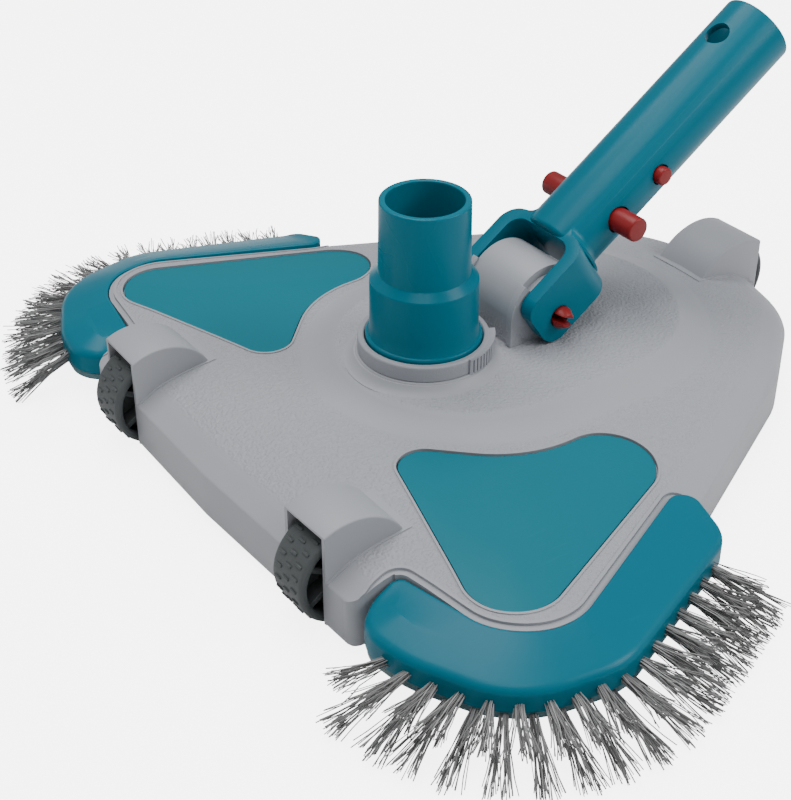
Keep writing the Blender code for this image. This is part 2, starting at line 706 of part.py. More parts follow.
def build_brushes(root):
    """Holders, base strips and bristle skirts on both sides."""
    for side, sign in (("right", 1.0), ("left", -1.0)):
        holder = add(f"brush_holder_{side}", holder_mesh(side), TEAL_PLASTIC, root)
        pocket = moved_in(HOLDER_OUTLINE, HOLDER_WALL)
        strip_outline = moved_in(HOLDER_OUTLINE, STRIP_INSET)
        if side == "left":
            pocket, strip_outline = mirrored(pocket), mirrored(strip_outline)
        combine(holder, "DIFFERENCE", prism(rounded(pocket), 0.0050, HOLDER_POCKET_Z))
        strip = add(
            f"brush_strip_{side}",
            prism(rounded(strip_outline, math.radians(10)), STRIP_BOTTOM_Z, STRIP_TOP_Z),
            STRIP_PLASTIC,
            root,
        )
        for x, y in BRUSH_SCREWS:
            centre = (sign * x, y, 0.0)
            combine(holder, "UNION", rod(0.0036, HOLDER_BOTTOM_Z, 0.0190, centre=centre, segments=14))
            combine(holder, "DIFFERENCE", rod(SCREW_HOLE, 0.0100, 0.0165, centre=centre, segments=12))
            combine(strip, "DIFFERENCE", rod(SCREW_CLEAR_HOLE, 0.0, 0.0200, centre=centre, segments=12))
        upper = skirt_mesh(side, UPPER_BRISTLE, 0.0)
        lower = skirt_mesh(side, LOWER_BRISTLE, STRIP_INSET)
        add(f"bristles_upper_{side}", upper, BRISTLE_NYLON, root)
        add(f"bristles_lower_{side}", lower, BRISTLE_NYLON, root)


# ---------------------------------------------------------------- wheels


def wheel_mesh():
    """A wheel about X: hub, thin web and a broad rim with rounded shoulders."""
    half = WHEEL_WIDTH / 2
    profile = [
        (AXLE_HOLE_RADIUS, -half),
        (0.0050, -half),
        (0.0050, -0.0015),
        (0.0148, -0.0015),
        (0.0150, -half),
        (0.0168, -half),
        (WHEEL_RADIUS, -half + 0.0014),
        (WHEEL_RADIUS, half - 0.0014),
        (0.0168, half),
        (0.0150, half),
        (0.0148, 0.0015),
        (0.0050, 0.0015),
        (0.0050, half),
        (AXLE_HOLE_RADIUS, half),
    ]
    return turned(profile, 28, "x")


def build_wheels(root):
    """Three wheels, each turning on its own axle."""
    places = {
        "front_right": (FRONT_WHEEL_X, FRONT_WHEEL_Y, 0.0124),
        "front_left": (-FRONT_WHEEL_X, FRONT_WHEEL_Y, 0.0124),
        "rear": (0.0, REAR_WHEEL_Y, 0.0134),
    }
    for name, (x, y, half_length) in places.items():
        centre = (x, y, WHEEL_RADIUS)
        add(f"wheel_{name}", wheel_mesh(), WHEEL_PLASTIC, root, centre, True)
        axle = rod(AXLE_RADIUS, -half_length, half_length, "x", segments=16)
        add(f"axle_{name}", axle, STEEL, root, centre, True)


# ---------------------------------------------------------------- spigot


def build_spigot(root):
    """The swivelling spigot, the seal under its flange and the twist ring over it."""
    flange_radius, flange_low, flange_high = SPIGOT_FLANGE
    tail_radius, tail_low = SPIGOT_TAIL
    step_low, step_high = SPIGOT_STEP_Z
    profile = [
        (SPIGOT_BORE, SPIGOT_TOP_Z - 0.0006),
        (SPIGOT_BORE + 0.0006, SPIGOT_TOP_Z),
        (SPIGOT_UPPER_RADIUS[0] - 0.0007, SPIGOT_TOP_Z),
        (SPIGOT_UPPER_RADIUS[0], SPIGOT_TOP_Z - 0.0008),
        (SPIGOT_UPPER_RADIUS[1], step_high),
        (SPIGOT_LOWER_RADIUS, step_low),
        (SPIGOT_LOWER_RADIUS, 0.0475),
        (SPIGOT_FOOT_RADIUS, 0.0450),
        (SPIGOT_FOOT_RADIUS, flange_high),
        (flange_radius, flange_high),
        (flange_radius, flange_low),
        (tail_radius, flange_low),
        (tail_radius, tail_low),
        (SPIGOT_BORE, tail_low),
    ]
    add("hose_spigot", turned(profile, 36), TEAL_PLASTIC, root, round_shape=True)
    section = arc((0.0200, COUNTERBORE[1] + 0.0012), 0.0009, 0.0, math.tau * 5 / 6, 5)
    add("spigot_seal", turned(section, 28), RUBBER, root, round_shape=True)

    low, high = RING_Z
    ring_profile = [
        (RING_BORE, low),
        (RING_RADIUS, low),
        (RING_RADIUS, high - 0.0008),
        (RING_RADIUS - 0.0008, high),
        (RING_BORE, high),
    ]
    ring = add("lock_ring", turned(ring_profile, 40), GREY_PLASTIC, root, round_shape=True)
    start, end = (math.radians(a) for a in RING_GRIP_DEG)
    grip = arc((0.0, 0.0), RING_GRIP_RADIUS, start, end, 10) + arc((0.0, 0.0), RING_BORE + 0.0008, end, start, 10)
    combine(ring, "UNION", prism(grip, low + 0.0002, high - 0.0002))


# ---------------------------------------------------------------- handle


def yoke_mesh():
    """The U of the yoke: a plan outline cut out of a side outline with round corners."""
    low, high = YOKE_SPAN
    plan = [
        (EAR_OUTER, EAR_FRONT, 0.0),
        (EAR_OUTER, YOKE_END, 0.0085),
    ]
    pocket = [
        (-EAR_INNER, YOKE_POCKET_END, 0.0060),
        (-EAR_INNER, EAR_FRONT, 0.0),
    ]
    left = [(-x, u, r) for x, u, r in reversed(plan)]
    right_pocket = [(-x, u, r) for x, u, r in reversed(pocket)]
    corners = [*plan, *left, *pocket[::-1], *right_pocket[::-1]]
    return prism(rounded(corners, math.radians(18)), low, high)


def build_handle(pivot):
    """The yoke and the tube in one moulding, in the tube's own frame."""
    handle = add("handle", yoke_mesh(), TEAL_PLASTIC, pivot)
    low, high = YOKE_SPAN
    lower, upper = EAR_CORNER_RADII
    side = [(EAR_FRONT, low, lower), (0.0600, low, 0.0), (0.0600, high, 0.0), (EAR_FRONT, high, upper)]
    combine(handle, "INTERSECT", prism(rounded(side), -0.030, 0.030, "x"))

    tube_profile = [(0.0, TUBE_START), (TUBE_RADIUS, TUBE_START), (TUBE_RADIUS, TUBE_END - 0.0008),
                    (TUBE_RADIUS - 0.0008, TUBE_END), (0.0, TUBE_END)]
    centre = (0.0, 0.0, TUBE_OFFSET)
    combine(handle, "UNION", turned(tube_profile, 36, "y", centre))
    combine(handle, "DIFFERENCE", rod(TUBE_BORE, TUBE_BORE_START, 0.150, "y", centre, 32))
    combine(handle, "DIFFERENCE", rod(PIN_HOLE_RADIUS, -0.030, 0.030, "x", segments=24))
    for button in (BIG_BUTTON, SMALL_BUTTON):
        radius = button["radius"] + BUTTON_CLEARANCE
        place = (0.0, button["along"], TUBE_OFFSET)
        combine(handle, "DIFFERENCE", rod(radius, -0.030, 0.030, "x", place, 20))
    along, radius = TUBE_HOLE
    combine(handle, "DIFFERENCE", rod(radius, 0.0, 0.030, "z", (0.0, along, TUBE_OFFSET), 20))
    return handle


def clip_arm_mesh(sign):
    """One leaf of the clip with no buttons on it."""
    sizes = CLIP_STRIP
    low_x, high_x = sorted((sign * sizes["inner"], sign * sizes["outer"]))
    z = TUBE_OFFSET
    return block((low_x, sizes["start"], z - sizes["half_height"]), (high_x, sizes["end"], z + sizes["half_height"]))


def build_clip(pivot):
    """The two sprung leaves with their buttons, and the bend that joins them."""
    for side, sign in (("right", 1.0), ("left", -1.0)):
        arm = add(f"clip_arm_{side}", clip_arm_mesh(sign), RED_PLASTIC, pivot)
        for button in (BIG_BUTTON, SMALL_BUTTON):
            low, high = sorted((sign * (CLIP_STRIP["outer"] - 0.0006), sign * button["end"]))
            place = (0.0, button["along"], TUBE_OFFSET)
            combine(arm, "UNION", rod(button["radius"], low, high, "x", place, 20))
    start = CLIP_STRIP["end"] + GAP
    thickness = CLIP_STRIP["outer"] - CLIP_STRIP["inner"]
    outer, inner = CLIP_STRIP["outer"], CLIP_STRIP["outer"] - thickness
    corners = [
        (outer, start, 0.0),
        (outer, CLIP_BEND_END, 0.0046),
        (-outer, CLIP_BEND_END, 0.0046),
        (-outer, start, 0.0),
        (-inner, start, 0.0),
        (-inner, CLIP_BEND_END - thickness, 0.0032),
        (inner, CLIP_BEND_END - thickness, 0.0032),
        (inner, start, 0.0),
    ]
    half = CLIP_STRIP["half_height"]
    bend = prism(rounded(corners, math.radians(20)), TUBE_OFFSET - half, TUBE_OFFSET + half)
    add("clip_bend", bend, RED_PLASTIC, pivot)


def build_pin(pivot):
    """The snap pin: a head on the left, a split barbed end on the right."""
    edge = EAR_OUTER + GAP
    profile = [
        (0.0, -edge - 0.0020),
        (0.0062, -edge - 0.0020),
        (0.0066, -edge),
        (PIN_RADIUS, -edge),
        (PIN_RADIUS, edge - 0.0002),
        (0.0047, edge + 0.0004),
        (0.0033, edge + 0.0036),
        (0.0, edge + 0.0036),
    ]
    pin = add("pivot_pin", turned(profile, 20, "x"), RED_PLASTIC, pivot, round_shape=True)
    combine(pin, "DIFFERENCE", block((0.0150, -0.0100, -0.0010), (0.0400, 0.0100, 0.0010)))
    return pin


def main():
    """Build every piece."""
    clear_scene()
    root = anchor("vacuum_head", location=(0.0, HOSE_AXIS_Y, 0.0))
    build_top_shell(root)
    build_base_plate(root)
    build_weights(root)
    build_brushes(root)
    build_wheels(root)
    build_spigot(root)
    build_screws(root)
    pivot = anchor("handle_pivot", root, (0.0, PIVOT_Y, PIVOT_Z), HANDLE_TILT)
    build_handle(pivot)
    build_clip(pivot)
    build_pin(pivot)


main()
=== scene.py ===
"""Looks of the manual vacuum head: casing, brushes, wheels, hose spigot and tilting handle.

Outlines and heights are in metres from the hose axis and the floor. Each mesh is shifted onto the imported
frame when its piece is made.
"""

import json
import logging
import math
from dataclasses import dataclass, field
from enum import Enum
from typing import Iterable, Sequence

import bmesh
import bpy
import numpy as np
from mathutils import Matrix, Vector


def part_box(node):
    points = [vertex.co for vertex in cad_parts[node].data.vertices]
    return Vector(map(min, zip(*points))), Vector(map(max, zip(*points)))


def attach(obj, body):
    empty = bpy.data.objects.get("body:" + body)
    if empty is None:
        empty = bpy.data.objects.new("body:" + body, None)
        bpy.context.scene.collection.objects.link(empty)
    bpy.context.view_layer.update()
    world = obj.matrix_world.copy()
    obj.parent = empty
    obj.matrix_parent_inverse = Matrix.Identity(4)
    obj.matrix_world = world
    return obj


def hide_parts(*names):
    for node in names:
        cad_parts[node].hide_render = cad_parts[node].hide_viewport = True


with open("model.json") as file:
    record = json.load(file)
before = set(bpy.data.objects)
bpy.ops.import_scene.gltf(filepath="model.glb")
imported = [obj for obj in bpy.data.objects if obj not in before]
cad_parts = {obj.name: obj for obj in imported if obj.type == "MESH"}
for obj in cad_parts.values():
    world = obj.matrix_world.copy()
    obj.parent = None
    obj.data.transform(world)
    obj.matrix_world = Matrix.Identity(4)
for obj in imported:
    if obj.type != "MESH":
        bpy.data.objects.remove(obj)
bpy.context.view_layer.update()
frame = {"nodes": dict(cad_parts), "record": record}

LOG = logging.getLogger("vacuum_head")
Point = tuple[float, float]
Point3 = tuple[float, float, float]
MM = 0.001

JOINTS = {joint["name"]: joint for joint in frame["record"]["behaviour"]["joints"]}
HOSE_Y = JOINTS["hose_swivel"]["pos_m"][1]
PIVOT = Vector(JOINTS["handle_tilt"]["pos_m"])
ON_FRAME = Matrix.Translation((0.0, HOSE_Y, 0.0))
HANDLE_TILT = math.radians(33.7)
PIN_HOLE = 0.0043
BUTTON_CLEARANCE = 0.0006
SCUFF_ROUGHNESS = 0.12
RIPPLE_SCALE = 160.0
ON_HANDLE = Matrix.Translation(PIVOT) @ Matrix.Rotation(HANDLE_TILT, 4, "X")

HOLDER = [
    (0.0875, -0.0942, 0.014),
    (0.1120, -0.0908, 0.040),
    (0.1450, -0.0745, 0.036),
    (0.1518, -0.0380, 0.030),
    (0.1270, 0.0265, 0.009),
    (0.1022, 0.0293, 0.006),
    (0.1432, -0.0635, 0.0245),
    (0.0846, -0.0726, 0.0045),
]
COVER = [
    (0.0316, -0.0404, 0.0095),
    (0.1355, -0.0717, 0.016),
    (0.0665, 0.0982, 0.0163),
    (0.0665, -0.0055, 0.045),
]
LEDGE = [
    (0.0800, -0.0860, 0.0),
    (0.0880, -0.0850, 0.003),
    (0.1240, -0.0770, 0.018),
    (0.1370, -0.0450, 0.015),
    (0.1120, 0.0240, 0.003),
    (0.1010, 0.0300, 0.0),
    (0.0970, 0.0260, 0.0),
    (0.1210, -0.0300, 0.0),
    (0.1200, -0.0600, 0.0),
    (0.0820, -0.0680, 0.0),
]


class Side(Enum):
    """Which side of the head a piece is on."""

    RIGHT = 1.0
    LEFT = -1.0

    @property
    def word(self) -> str:
        """The side's word in node names."""
        return self.name.lower()


# ---------------------------------------------------------------- outlines


def arc(centre: Sequence[float], radius: float, start: float, end: float, count: int) -> list[Point]:
    """Points on an arc, ends included.

    Args:
        centre: Centre of the arc.
        radius: Radius in metres.
        start: First angle in radians.
        end: Last angle in radians.
        count: Number of steps.

    Returns:
        count + 1 points.
    """
    turns = [start + (end - start) * i / count for i in range(count + 1)]
    return [(centre[0] + radius * math.cos(a), centre[1] + radius * math.sin(a)) for a in turns]


def rounded(corners: Sequence[Point3], step: float = 5.0) -> list[Point]:
    """A closed outline through corners, with every corner rounded to its own radius.

    Args:
        corners: (x, y, radius) of each corner, anticlockwise.
        step: Largest turn between two points of an arc, in degrees.

    Returns:
        The outline's points.
    """
    points: list[Point] = []
    for i, (x, y, radius) in enumerate(corners):
        corner = Vector((x, y))
        before = (Vector(corners[i - 1][:2]) - corner).normalized()
        after = (Vector(corners[(i + 1) % len(corners)][:2]) - corner).normalized()
        angle = before.angle(after)
        if radius <= 0.0 or angle > math.pi - 0.002:
            points.append((x, y))
            continue
        centre = corner + (before + after).normalized() * (radius / math.sin(angle / 2))
        reach = radius / math.tan(angle / 2)
        first = corner + before * reach - centre
        last = corner + after * reach - centre
        turn = math.atan2(first.x * last.y - first.y * last.x, first.dot(last))
        start = math.atan2(first.y, first.x)
        count = max(2, math.ceil(abs(math.degrees(turn)) / step))
        points += arc(centre, radius, start, start + turn, count)
    return points


def moved_in(corners: Sequence[Point3], distance: float, smallest: float = 0.0012) -> list[Point3]:
    """The same outline with every side moved inwards, or outwards for a negative distance.

    Args:
        corners: (x, y, radius) of each corner, anticlockwise.
        distance: How far each side moves.
        smallest: Least radius that a rounded corner keeps.

    Returns:
        The moved corners.
    """
    lines = []
    for i, (x, y, _) in enumerate(corners):
        nx, ny, _ = corners[(i + 1) % len(corners)]
        along = Vector((nx - x, ny - y)).normalized()
        lines.append((Vector((x, y)) + Vector((-along.y, along.x)) * distance, along))
    result = []
    for i, (_, _, radius) in enumerate(corners):
        (p, d), (q, e) = lines[i - 1], lines[i]
        cross = d.x * e.y - d.y * e.x
        shift = ((q - p).x * e.y - (q - p).y * e.x) / cross if abs(cross) > 1e-6 else d.dot(q - p)
        point = p + d * shift
        new_radius = radius + distance if cross < 0 else radius - distance
        result.append((point.x, point.y, max(new_radius, smallest) if radius else 0.0))
    return result


def on_side(side: Side, points: Iterable[Sequence[float]]) -> list:
    """A right-hand outline, or its mirror image in the same turning direction."""
    kept = [tuple(p) for p in points]
    return kept if side is Side.RIGHT else [(-p[0], *p[1:]) for p in reversed(kept)]


def distance_to(points: np.ndarray, path: Sequence[Point], closed: bool = True) -> np.ndarray:
    """Distance from each point to a path.

    Args:
        points: Array of shape (n, 2).
        path: The path's points.
        closed: Whether the last point joins the first.

    Returns:
        n distances.
    """
    line = np.asarray(path, float)
    ends = np.roll(line, -1, axis=0) if closed else line[1:]
    starts = line if closed else line[:-1]
    best = np.full(len(points), np.inf)
    for a, b in zip(starts, ends):
        along = b - a
        share = np.clip(((points - a) @ along) / max(along @ along, 1e-18), 0.0, 1.0)
        best = np.minimum(best, np.linalg.norm(points - a - share[:, None] * along, axis=1))
    return best


def smooth_step(low: float, high: float, value: np.ndarray | float) -> np.ndarray:
    """A smooth ramp from 0 at low to 1 at high."""
    t = np.clip((np.asarray(value, float) - low) / (high - low), 0.0, 1.0)
    return t * t * (3.0 - 2.0 * t)


def edge_drop(inset: np.ndarray, radius: np.ndarray | float, share: float = 0.75) -> np.ndarray:
    """How far a rounded edge lies below the surface it ends.

    Args:
        inset: Distance inside the edge.
        radius: Radius of the rounding, one for all or one for each.
        share: Part of a full quarter round that the edge falls by.

    Returns:
        The drop in metres.
    """
    left = np.clip(np.asarray(radius, float) - inset, 0.0, None)
    return share * (radius - np.sqrt(np.clip(np.asarray(radius, float) ** 2 - left**2, 0.0, None)))


# ---------------------------------------------------------------- meshes


def mesh_of(vertices: Sequence[Sequence[float]], faces: Sequence[Sequence[int]]) -> bpy.types.Mesh:
    """A mesh with merged points and outward faces."""
    shape = bmesh.new()
    made = [shape.verts.new(v) for v in vertices]
    for face in faces:
        shape.faces.new([made[i] for i in face])
    bmesh.ops.remove_doubles(shape, verts=shape.verts, dist=1e-7)
    bmesh.ops.dissolve_degenerate(shape, edges=shape.edges, dist=1e-7)
    caps = [face for face in shape.faces if len(face.verts) > 4]
    bmesh.ops.triangulate(shape, faces=caps, ngon_method="BEAUTY")
    bmesh.ops.recalc_face_normals(shape, faces=shape.faces)
    mesh = bpy.data.meshes.new("mesh")
    shape.to_mesh(mesh)
    shape.free()
    return mesh


def loft(rings: Sequence[Sequence[Sequence[float]]]) -> bpy.types.Mesh:
    """A solid through rings with the same number of points, capped at both ends."""
    count = len(rings[0])
    vertices = [p for ring in rings for p in ring]
    faces: list[tuple[int, ...]] = []
    for level in range(len(rings) - 1):
        for i in range(count):
            a = level * count + i
            b = level * count + (i + 1) % count
            faces.append((a, b, b + count, a + count))
    faces.append(tuple(reversed(range(count))))
    faces.append(tuple(range(len(vertices) - count, len(vertices))))
    return mesh_of(vertices, faces)


def prism(outline: Sequence[Point], low: float, high: float, axis: str = "z") -> bpy.types.Mesh:
    """An outline pushed along z, or along x for an outline in (y, z)."""
    if axis == "z":
        return loft([[(x, y, h) for x, y in outline] for h in (low, high)])
    return loft([[(h, y, z) for y, z in outline] for h in (low, high)])


def block(low: Sequence[float], high: Sequence[float]) -> bpy.types.Mesh:
    """A box between two corners, for cutting."""
    outline = [(low[0], low[1]), (high[0], low[1]), (high[0], high[1]), (low[0], high[1])]
    return prism(outline, low[2], high[2])


def band(
    corners: Sequence[Point3], side: Side, distance: float, low: float, high: float, step: float = 5.0
) -> bpy.types.Mesh:
    """A prism over an outline that is moved in by a distance, on one side of the head."""
    return prism(rounded(on_side(side, moved_in(corners, distance)), step), low, high)


def turned(
    profile: Sequence[Point], segments: int, axis: str = "z", centre: Sequence[float] = (0.0, 0.0, 0.0)
) -> bpy.types.Mesh:
    """A profile of (radius, height) turned round an axis.

    Args:
        profile: Points of the profile. It closes on the axis where it starts with radius 0.
        segments: Number of sides.
        axis: Axis that it turns round.
        centre: A point of the axis, from which heights are counted.

    Returns:
        The closed mesh.
    """
    rings: list[range] = []
    vertices: list[Point3] = []
    for radius, height in profile:
        count = segments if radius > 0 else 1
        rings.append(range(len(vertices), len(vertices) + count))
        for i in range(count):
            angle = math.tau * i / segments
            across, up = radius * math.cos(angle), radius * math.sin(angle)
            point = {"z": (across, up, height), "x": (height, across, up), "y": (across, height, up)}[axis]
            vertices.append((point[0] + centre[0], point[1] + centre[1], point[2] + centre[2]))
    open_ends = profile[0][0] == 0
    pairs = zip(rings, rings[1:]) if open_ends else zip(rings, rings[1:] + rings[:1])
    faces = []
    for lower, upper in pairs:
        for i in range(segments):
            j = (i + 1) % segments
            corners = [lower[i % len(lower)], lower[j % len(lower)], upper[j % len(upper)],
                       upper[i % len(upper)]]
            face = list(dict.fromkeys(corners))
            if len(face) > 2:
                faces.append(face)
    return mesh_of(vertices, faces)


def rod(
    radius: float,
    low: float,
    high: float,
    axis: str = "z",
    centre: Sequence[float] = (0.0, 0.0, 0.0),
    segments: int = 48,
    edge: float = 0.0,
) -> bpy.types.Mesh:
    """A cylinder along an axis, its edges rounded where edge isn't 0."""
    if not edge:
        return turned([(0.0, low), (radius, low), (radius, high), (0.0, high)], segments, axis, centre)
    bottom = arc((radius - edge, low + edge), edge, -math.pi / 2, 0.0, 4)
    top = arc((radius - edge, high - edge), edge, 0.0, math.pi / 2, 4)
    return turned([(0.0, low), *bottom, *top, (0.0, high)], segments, axis, centre)


def gathered(meshes: Sequence[bpy.types.Mesh]) -> bpy.types.Mesh:
    """Several meshes as one."""
    shape = bmesh.new()
    for mesh in meshes:
        shape.from_mesh(mesh)
    result = bpy.data.meshes.new("mesh")
    shape.to_mesh(result)
    shape.free()
    return result


def middle(node: str) -> Vector:
    """Centre of a frame node's box."""
    low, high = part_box(node)
    return (low + high) / 2


def placed(name: str, data: bpy.types.ID) -> bpy.types.Object:
    """A new object of the scene that holds some data."""
    obj = bpy.data.objects.new(name, data)
    bpy.context.collection.objects.link(obj)
    return obj


def evaluated(obj: bpy.types.Object) -> bpy.types.Mesh:
    """An object's mesh with its modifiers applied."""
    graph = bpy.context.evaluated_depsgraph_get()
    return bpy.data.meshes.new_from_object(obj.evaluated_get(graph))


class Solid:
    """A closed mesh that is joined and cut in steps."""

    def __init__(self, mesh: bpy.types.Mesh) -> None:
        """Hold a mesh in a scratch object."""
        self.obj = placed("scratch", mesh)

    def _evaluate(self) -> bpy.types.Mesh:
        """Apply the modifiers."""
        mesh = evaluated(self.obj)
        self.obj.modifiers.clear()
        self.obj.data = mesh
        return mesh

    def _combine(self, operation: str, meshes: Sequence[bpy.types.Mesh]) -> "Solid":
        """Run one exact Boolean against meshes."""
        tool = placed("tool", gathered(meshes))
        modifier = self.obj.modifiers.new("Boolean", "BOOLEAN")
        modifier.operation = operation
        modifier.solver = "EXACT"
        modifier.object = tool
        self._evaluate()
        bpy.data.objects.remove(tool)
        return self

    def join(self, *meshes: bpy.types.Mesh) -> "Solid":
        """Add meshes."""
        return self._combine("UNION", meshes)

    def cut(self, *meshes: bpy.types.Mesh) -> "Solid":
        """Take meshes away."""
        return self._combine("DIFFERENCE", meshes)

    def keep(self, *meshes: bpy.types.Mesh) -> "Solid":
        """Keep only what the meshes also hold."""
        return self._combine("INTERSECT", meshes)

    def applied(self) -> bpy.types.Mesh:
        """The finished mesh; the scratch object goes."""
        mesh = self._evaluate()
        bpy.data.objects.remove(self.obj)
        return mesh


def rounded_edges(mesh: bpy.types.Mesh, width: float, segments: int = 3,
                  angle: float = 30.0) -> bpy.types.Mesh:
    """The mesh with every edge sharper than an angle rounded."""
    solid = Solid(mesh)
    bevel = solid.obj.modifiers.new("Edges", "BEVEL")
    bevel.width = width
    bevel.segments = segments
    bevel.limit_method = "ANGLE"
    bevel.angle_limit = math.radians(angle)
    return solid.applied()


def paint(mesh: bpy.types.Mesh, name: str, values: np.ndarray) -> None:
    """Store one number for each vertex, for materials to read."""
    attribute = mesh.attributes.new(name, "FLOAT", "POINT")
    attribute.data.foreach_set("value", np.asarray(values, np.float32))


def positions(mesh: bpy.types.Mesh) -> np.ndarray:
    """Vertex positions as an array of shape (n, 3)."""
    flat = np.empty(len(mesh.vertices) * 3, np.float32)
    mesh.vertices.foreach_get("co", flat)
    return flat.reshape(-1, 3).astype(float)


# ---------------------------------------------------------------- finishes


def socket(group: bpy.types.NodeTree, name: str, kind: str, default: float | None = None,
           out: bool = False) -> None:
    """Add a named socket to a node group."""
    made = group.interface.new_socket(name=name, in_out="OUTPUT" if out else "INPUT",
                                      socket_type=f"NodeSocket{kind}")
    if default is not None:
        made.default_value = default


class Wiring:
    """Short words for adding nodes to a tree and joining them."""

    def __init__(self, tree: bpy.types.NodeTree) -> None:
        """Work on one tree."""
        self.tree = tree

    def node(self, kind: str, inputs: dict | None = None, **settings: object) -> bpy.types.Node:
        """Add a node.

        Args:
            kind: Its identifier, without the common prefix for shader nodes.
            inputs: Socket name or number to a value or to another node's output socket.
            **settings: Attributes to set on the node.

        Returns:
            The node.
        """
        full = kind if kind.startswith(("Geometry", "Function", "Node", "Shader")) else f"ShaderNode{kind}"
        made = self.tree.nodes.new(full)
        for name, value in settings.items():
            setattr(made, name, value)
        for name, value in (inputs or {}).items():
            if isinstance(value, bpy.types.NodeSocket):
                self.tree.links.new(value, made.inputs[name])
            else:
                made.inputs[name].default_value = value
        return made

    def link(self, source: bpy.types.NodeSocket, target: bpy.types.NodeSocket) -> None:
        """Join an output to an input."""
        self.tree.links.new(source, target)

    def ramp(
        self, value: bpy.types.NodeSocket, low: float, high: float, to: Point = (0.0, 1.0)
    ) -> bpy.types.NodeSocket:
        """A value mapped from one range to another and held at its ends."""
        inputs = {"Value": value, "From Min": low, "From Max": high, "To Min": to[0], "To Max": to[1]}
        return self.node("MapRange", inputs).outputs["Result"]

    def noise(self, vector: bpy.types.NodeSocket, scale: object, detail: float) -> bpy.types.Node:
        """Add a noise texture."""
        return self.node("TexNoise", {"Vector": vector, "Scale": scale, "Detail": detail})

    def mix(self, share: bpy.types.NodeSocket, first: object, second: object) -> bpy.types.NodeSocket:
        """Two colours mixed."""
        return self.node("Mix", {0: share, 6: first, 7: second}, data_type="RGBA").outputs[2]

    def bump(self, height: bpy.types.NodeSocket, depth: float, **under: object) -> bpy.types.NodeSocket:
        """A normal bumped by a height, its depth in millimetres."""
        inputs = {"Height": height, "Distance": depth * MM, "Strength": 1.0, **under}
        return self.node("Bump", inputs).outputs[0]

    def vector(self, operation: str, first: object, second: object) -> bpy.types.NodeSocket:
        """One step of vector arithmetic."""
        key = "Scale" if operation == "SCALE" else 1
        return self.node("VectorMath", {0: first, key: second}, operation=operation).outputs[0]

    def shared(self, group: bpy.types.NodeTree, vector: bpy.types.NodeSocket,
               **inputs: float) -> bpy.types.NodeSocket:
        """The first output of a shared node group that reads a position."""
        return self.node("ShaderNodeGroup", {"Vector": vector, **inputs}, node_tree=group).outputs[0]

    def math(self, operation: str, *values: object) -> bpy.types.NodeSocket:
        """One arithmetic step."""
        made = self.node("Math", dict(enumerate(values)), operation=operation)
        return made.outputs[0]


def new_group(name: str, inputs: dict[str, float], output: str) -> tuple[Wiring, dict, bpy.types.NodeSocket]:
    """A shader node group with number inputs: its wiring, what it is given and the socket it ends in."""
    group = bpy.data.node_groups.new(name, "ShaderNodeTree")
    socket(group, "Vector", "Vector")
    for label, value in inputs.items():
        socket(group, label, "Float", value)
    socket(group, output, "Float", out=True)
    wiring = Wiring(group)
    return wiring, wiring.node("NodeGroupInput").outputs, wiring.node("NodeGroupOutput").inputs[output]


def opaque(colour: Sequence[float]) -> tuple[float, ...]:
    """A colour with full alpha."""
    return (*colour, 1.0)


def new_material(name: str) -> tuple[bpy.types.Material, Wiring, bpy.types.Node]:
    """A node material, its wiring and its main shader."""
    material = bpy.data.materials.new(name)
    material.use_nodes = True
    return material, Wiring(material.node_tree), material.node_tree.nodes["Principled BSDF"]


def make_drift_group() -> bpy.types.NodeTree:
    """Slow changes of tone across moulded plastic, as a mask."""
    w, given, out = new_group("tone_drift", {"Scale": 12.0}, "Mask")
    broad = w.noise(given["Vector"], given["Scale"], 3.0)
    w.link(w.ramp(broad.outputs["Fac"], 0.35, 0.65), out)
    return w.tree


def make_grain_group() -> bpy.types.NodeTree:
    """Leather-like mould texture: rounded cells with finer noise over them."""
    w, given, out = new_group("mould_grain", {"Cells": 1000.0, "Fine": 2400.0}, "Height")
    warp = w.noise(given["Vector"], 420.0, 2.0)
    moved = w.vector("ADD", given["Vector"], w.vector("SCALE", warp.outputs["Color"], 0.0012))
    inputs = {"Vector": moved, "Scale": given["Cells"], "Smoothness": 0.6}
    cells = w.node("TexVoronoi", inputs, feature="SMOOTH_F1")
    fine = w.noise(moved, given["Fine"], 3.0)
    dome = w.ramp(cells.outputs["Distance"], 0.75, 0.15)
    w.link(w.math("ADD", dome, w.math("MULTIPLY", fine.outputs["Fac"], 0.45)), out)
    return w.tree


def make_scuff_group() -> bpy.types.NodeTree:
    """Sparse hairline scuffs, as a mask."""
    w, given, out = new_group("scuffs", {"Density": 0.15}, "Mask")
    drawn_out = {"Vector": given["Vector"], "Scale": (900.0, 60.0, 300.0), "Rotation": (0.2, 0.1, 0.6)}
    lines = w.noise(w.node("Mapping", drawn_out).outputs[0], 1.0, 1.0)
    where = w.noise(given["Vector"], 28.0, 2.0)
    line_mask = w.ramp(lines.outputs["Fac"], 0.66, 0.72)
    place = w.ramp(where.outputs["Fac"], 0.52, 0.62)
    w.link(w.math("MULTIPLY", w.math("MULTIPLY", line_mask, place), given["Density"]), out)
    return w.tree


@dataclass
class Shop:
    """The node groups that several finishes share."""

    drift: bpy.types.NodeTree = field(default_factory=make_drift_group)
    grain: bpy.types.NodeTree = field(default_factory=make_grain_group)
    scuff: bpy.types.NodeTree = field(default_factory=make_scuff_group)


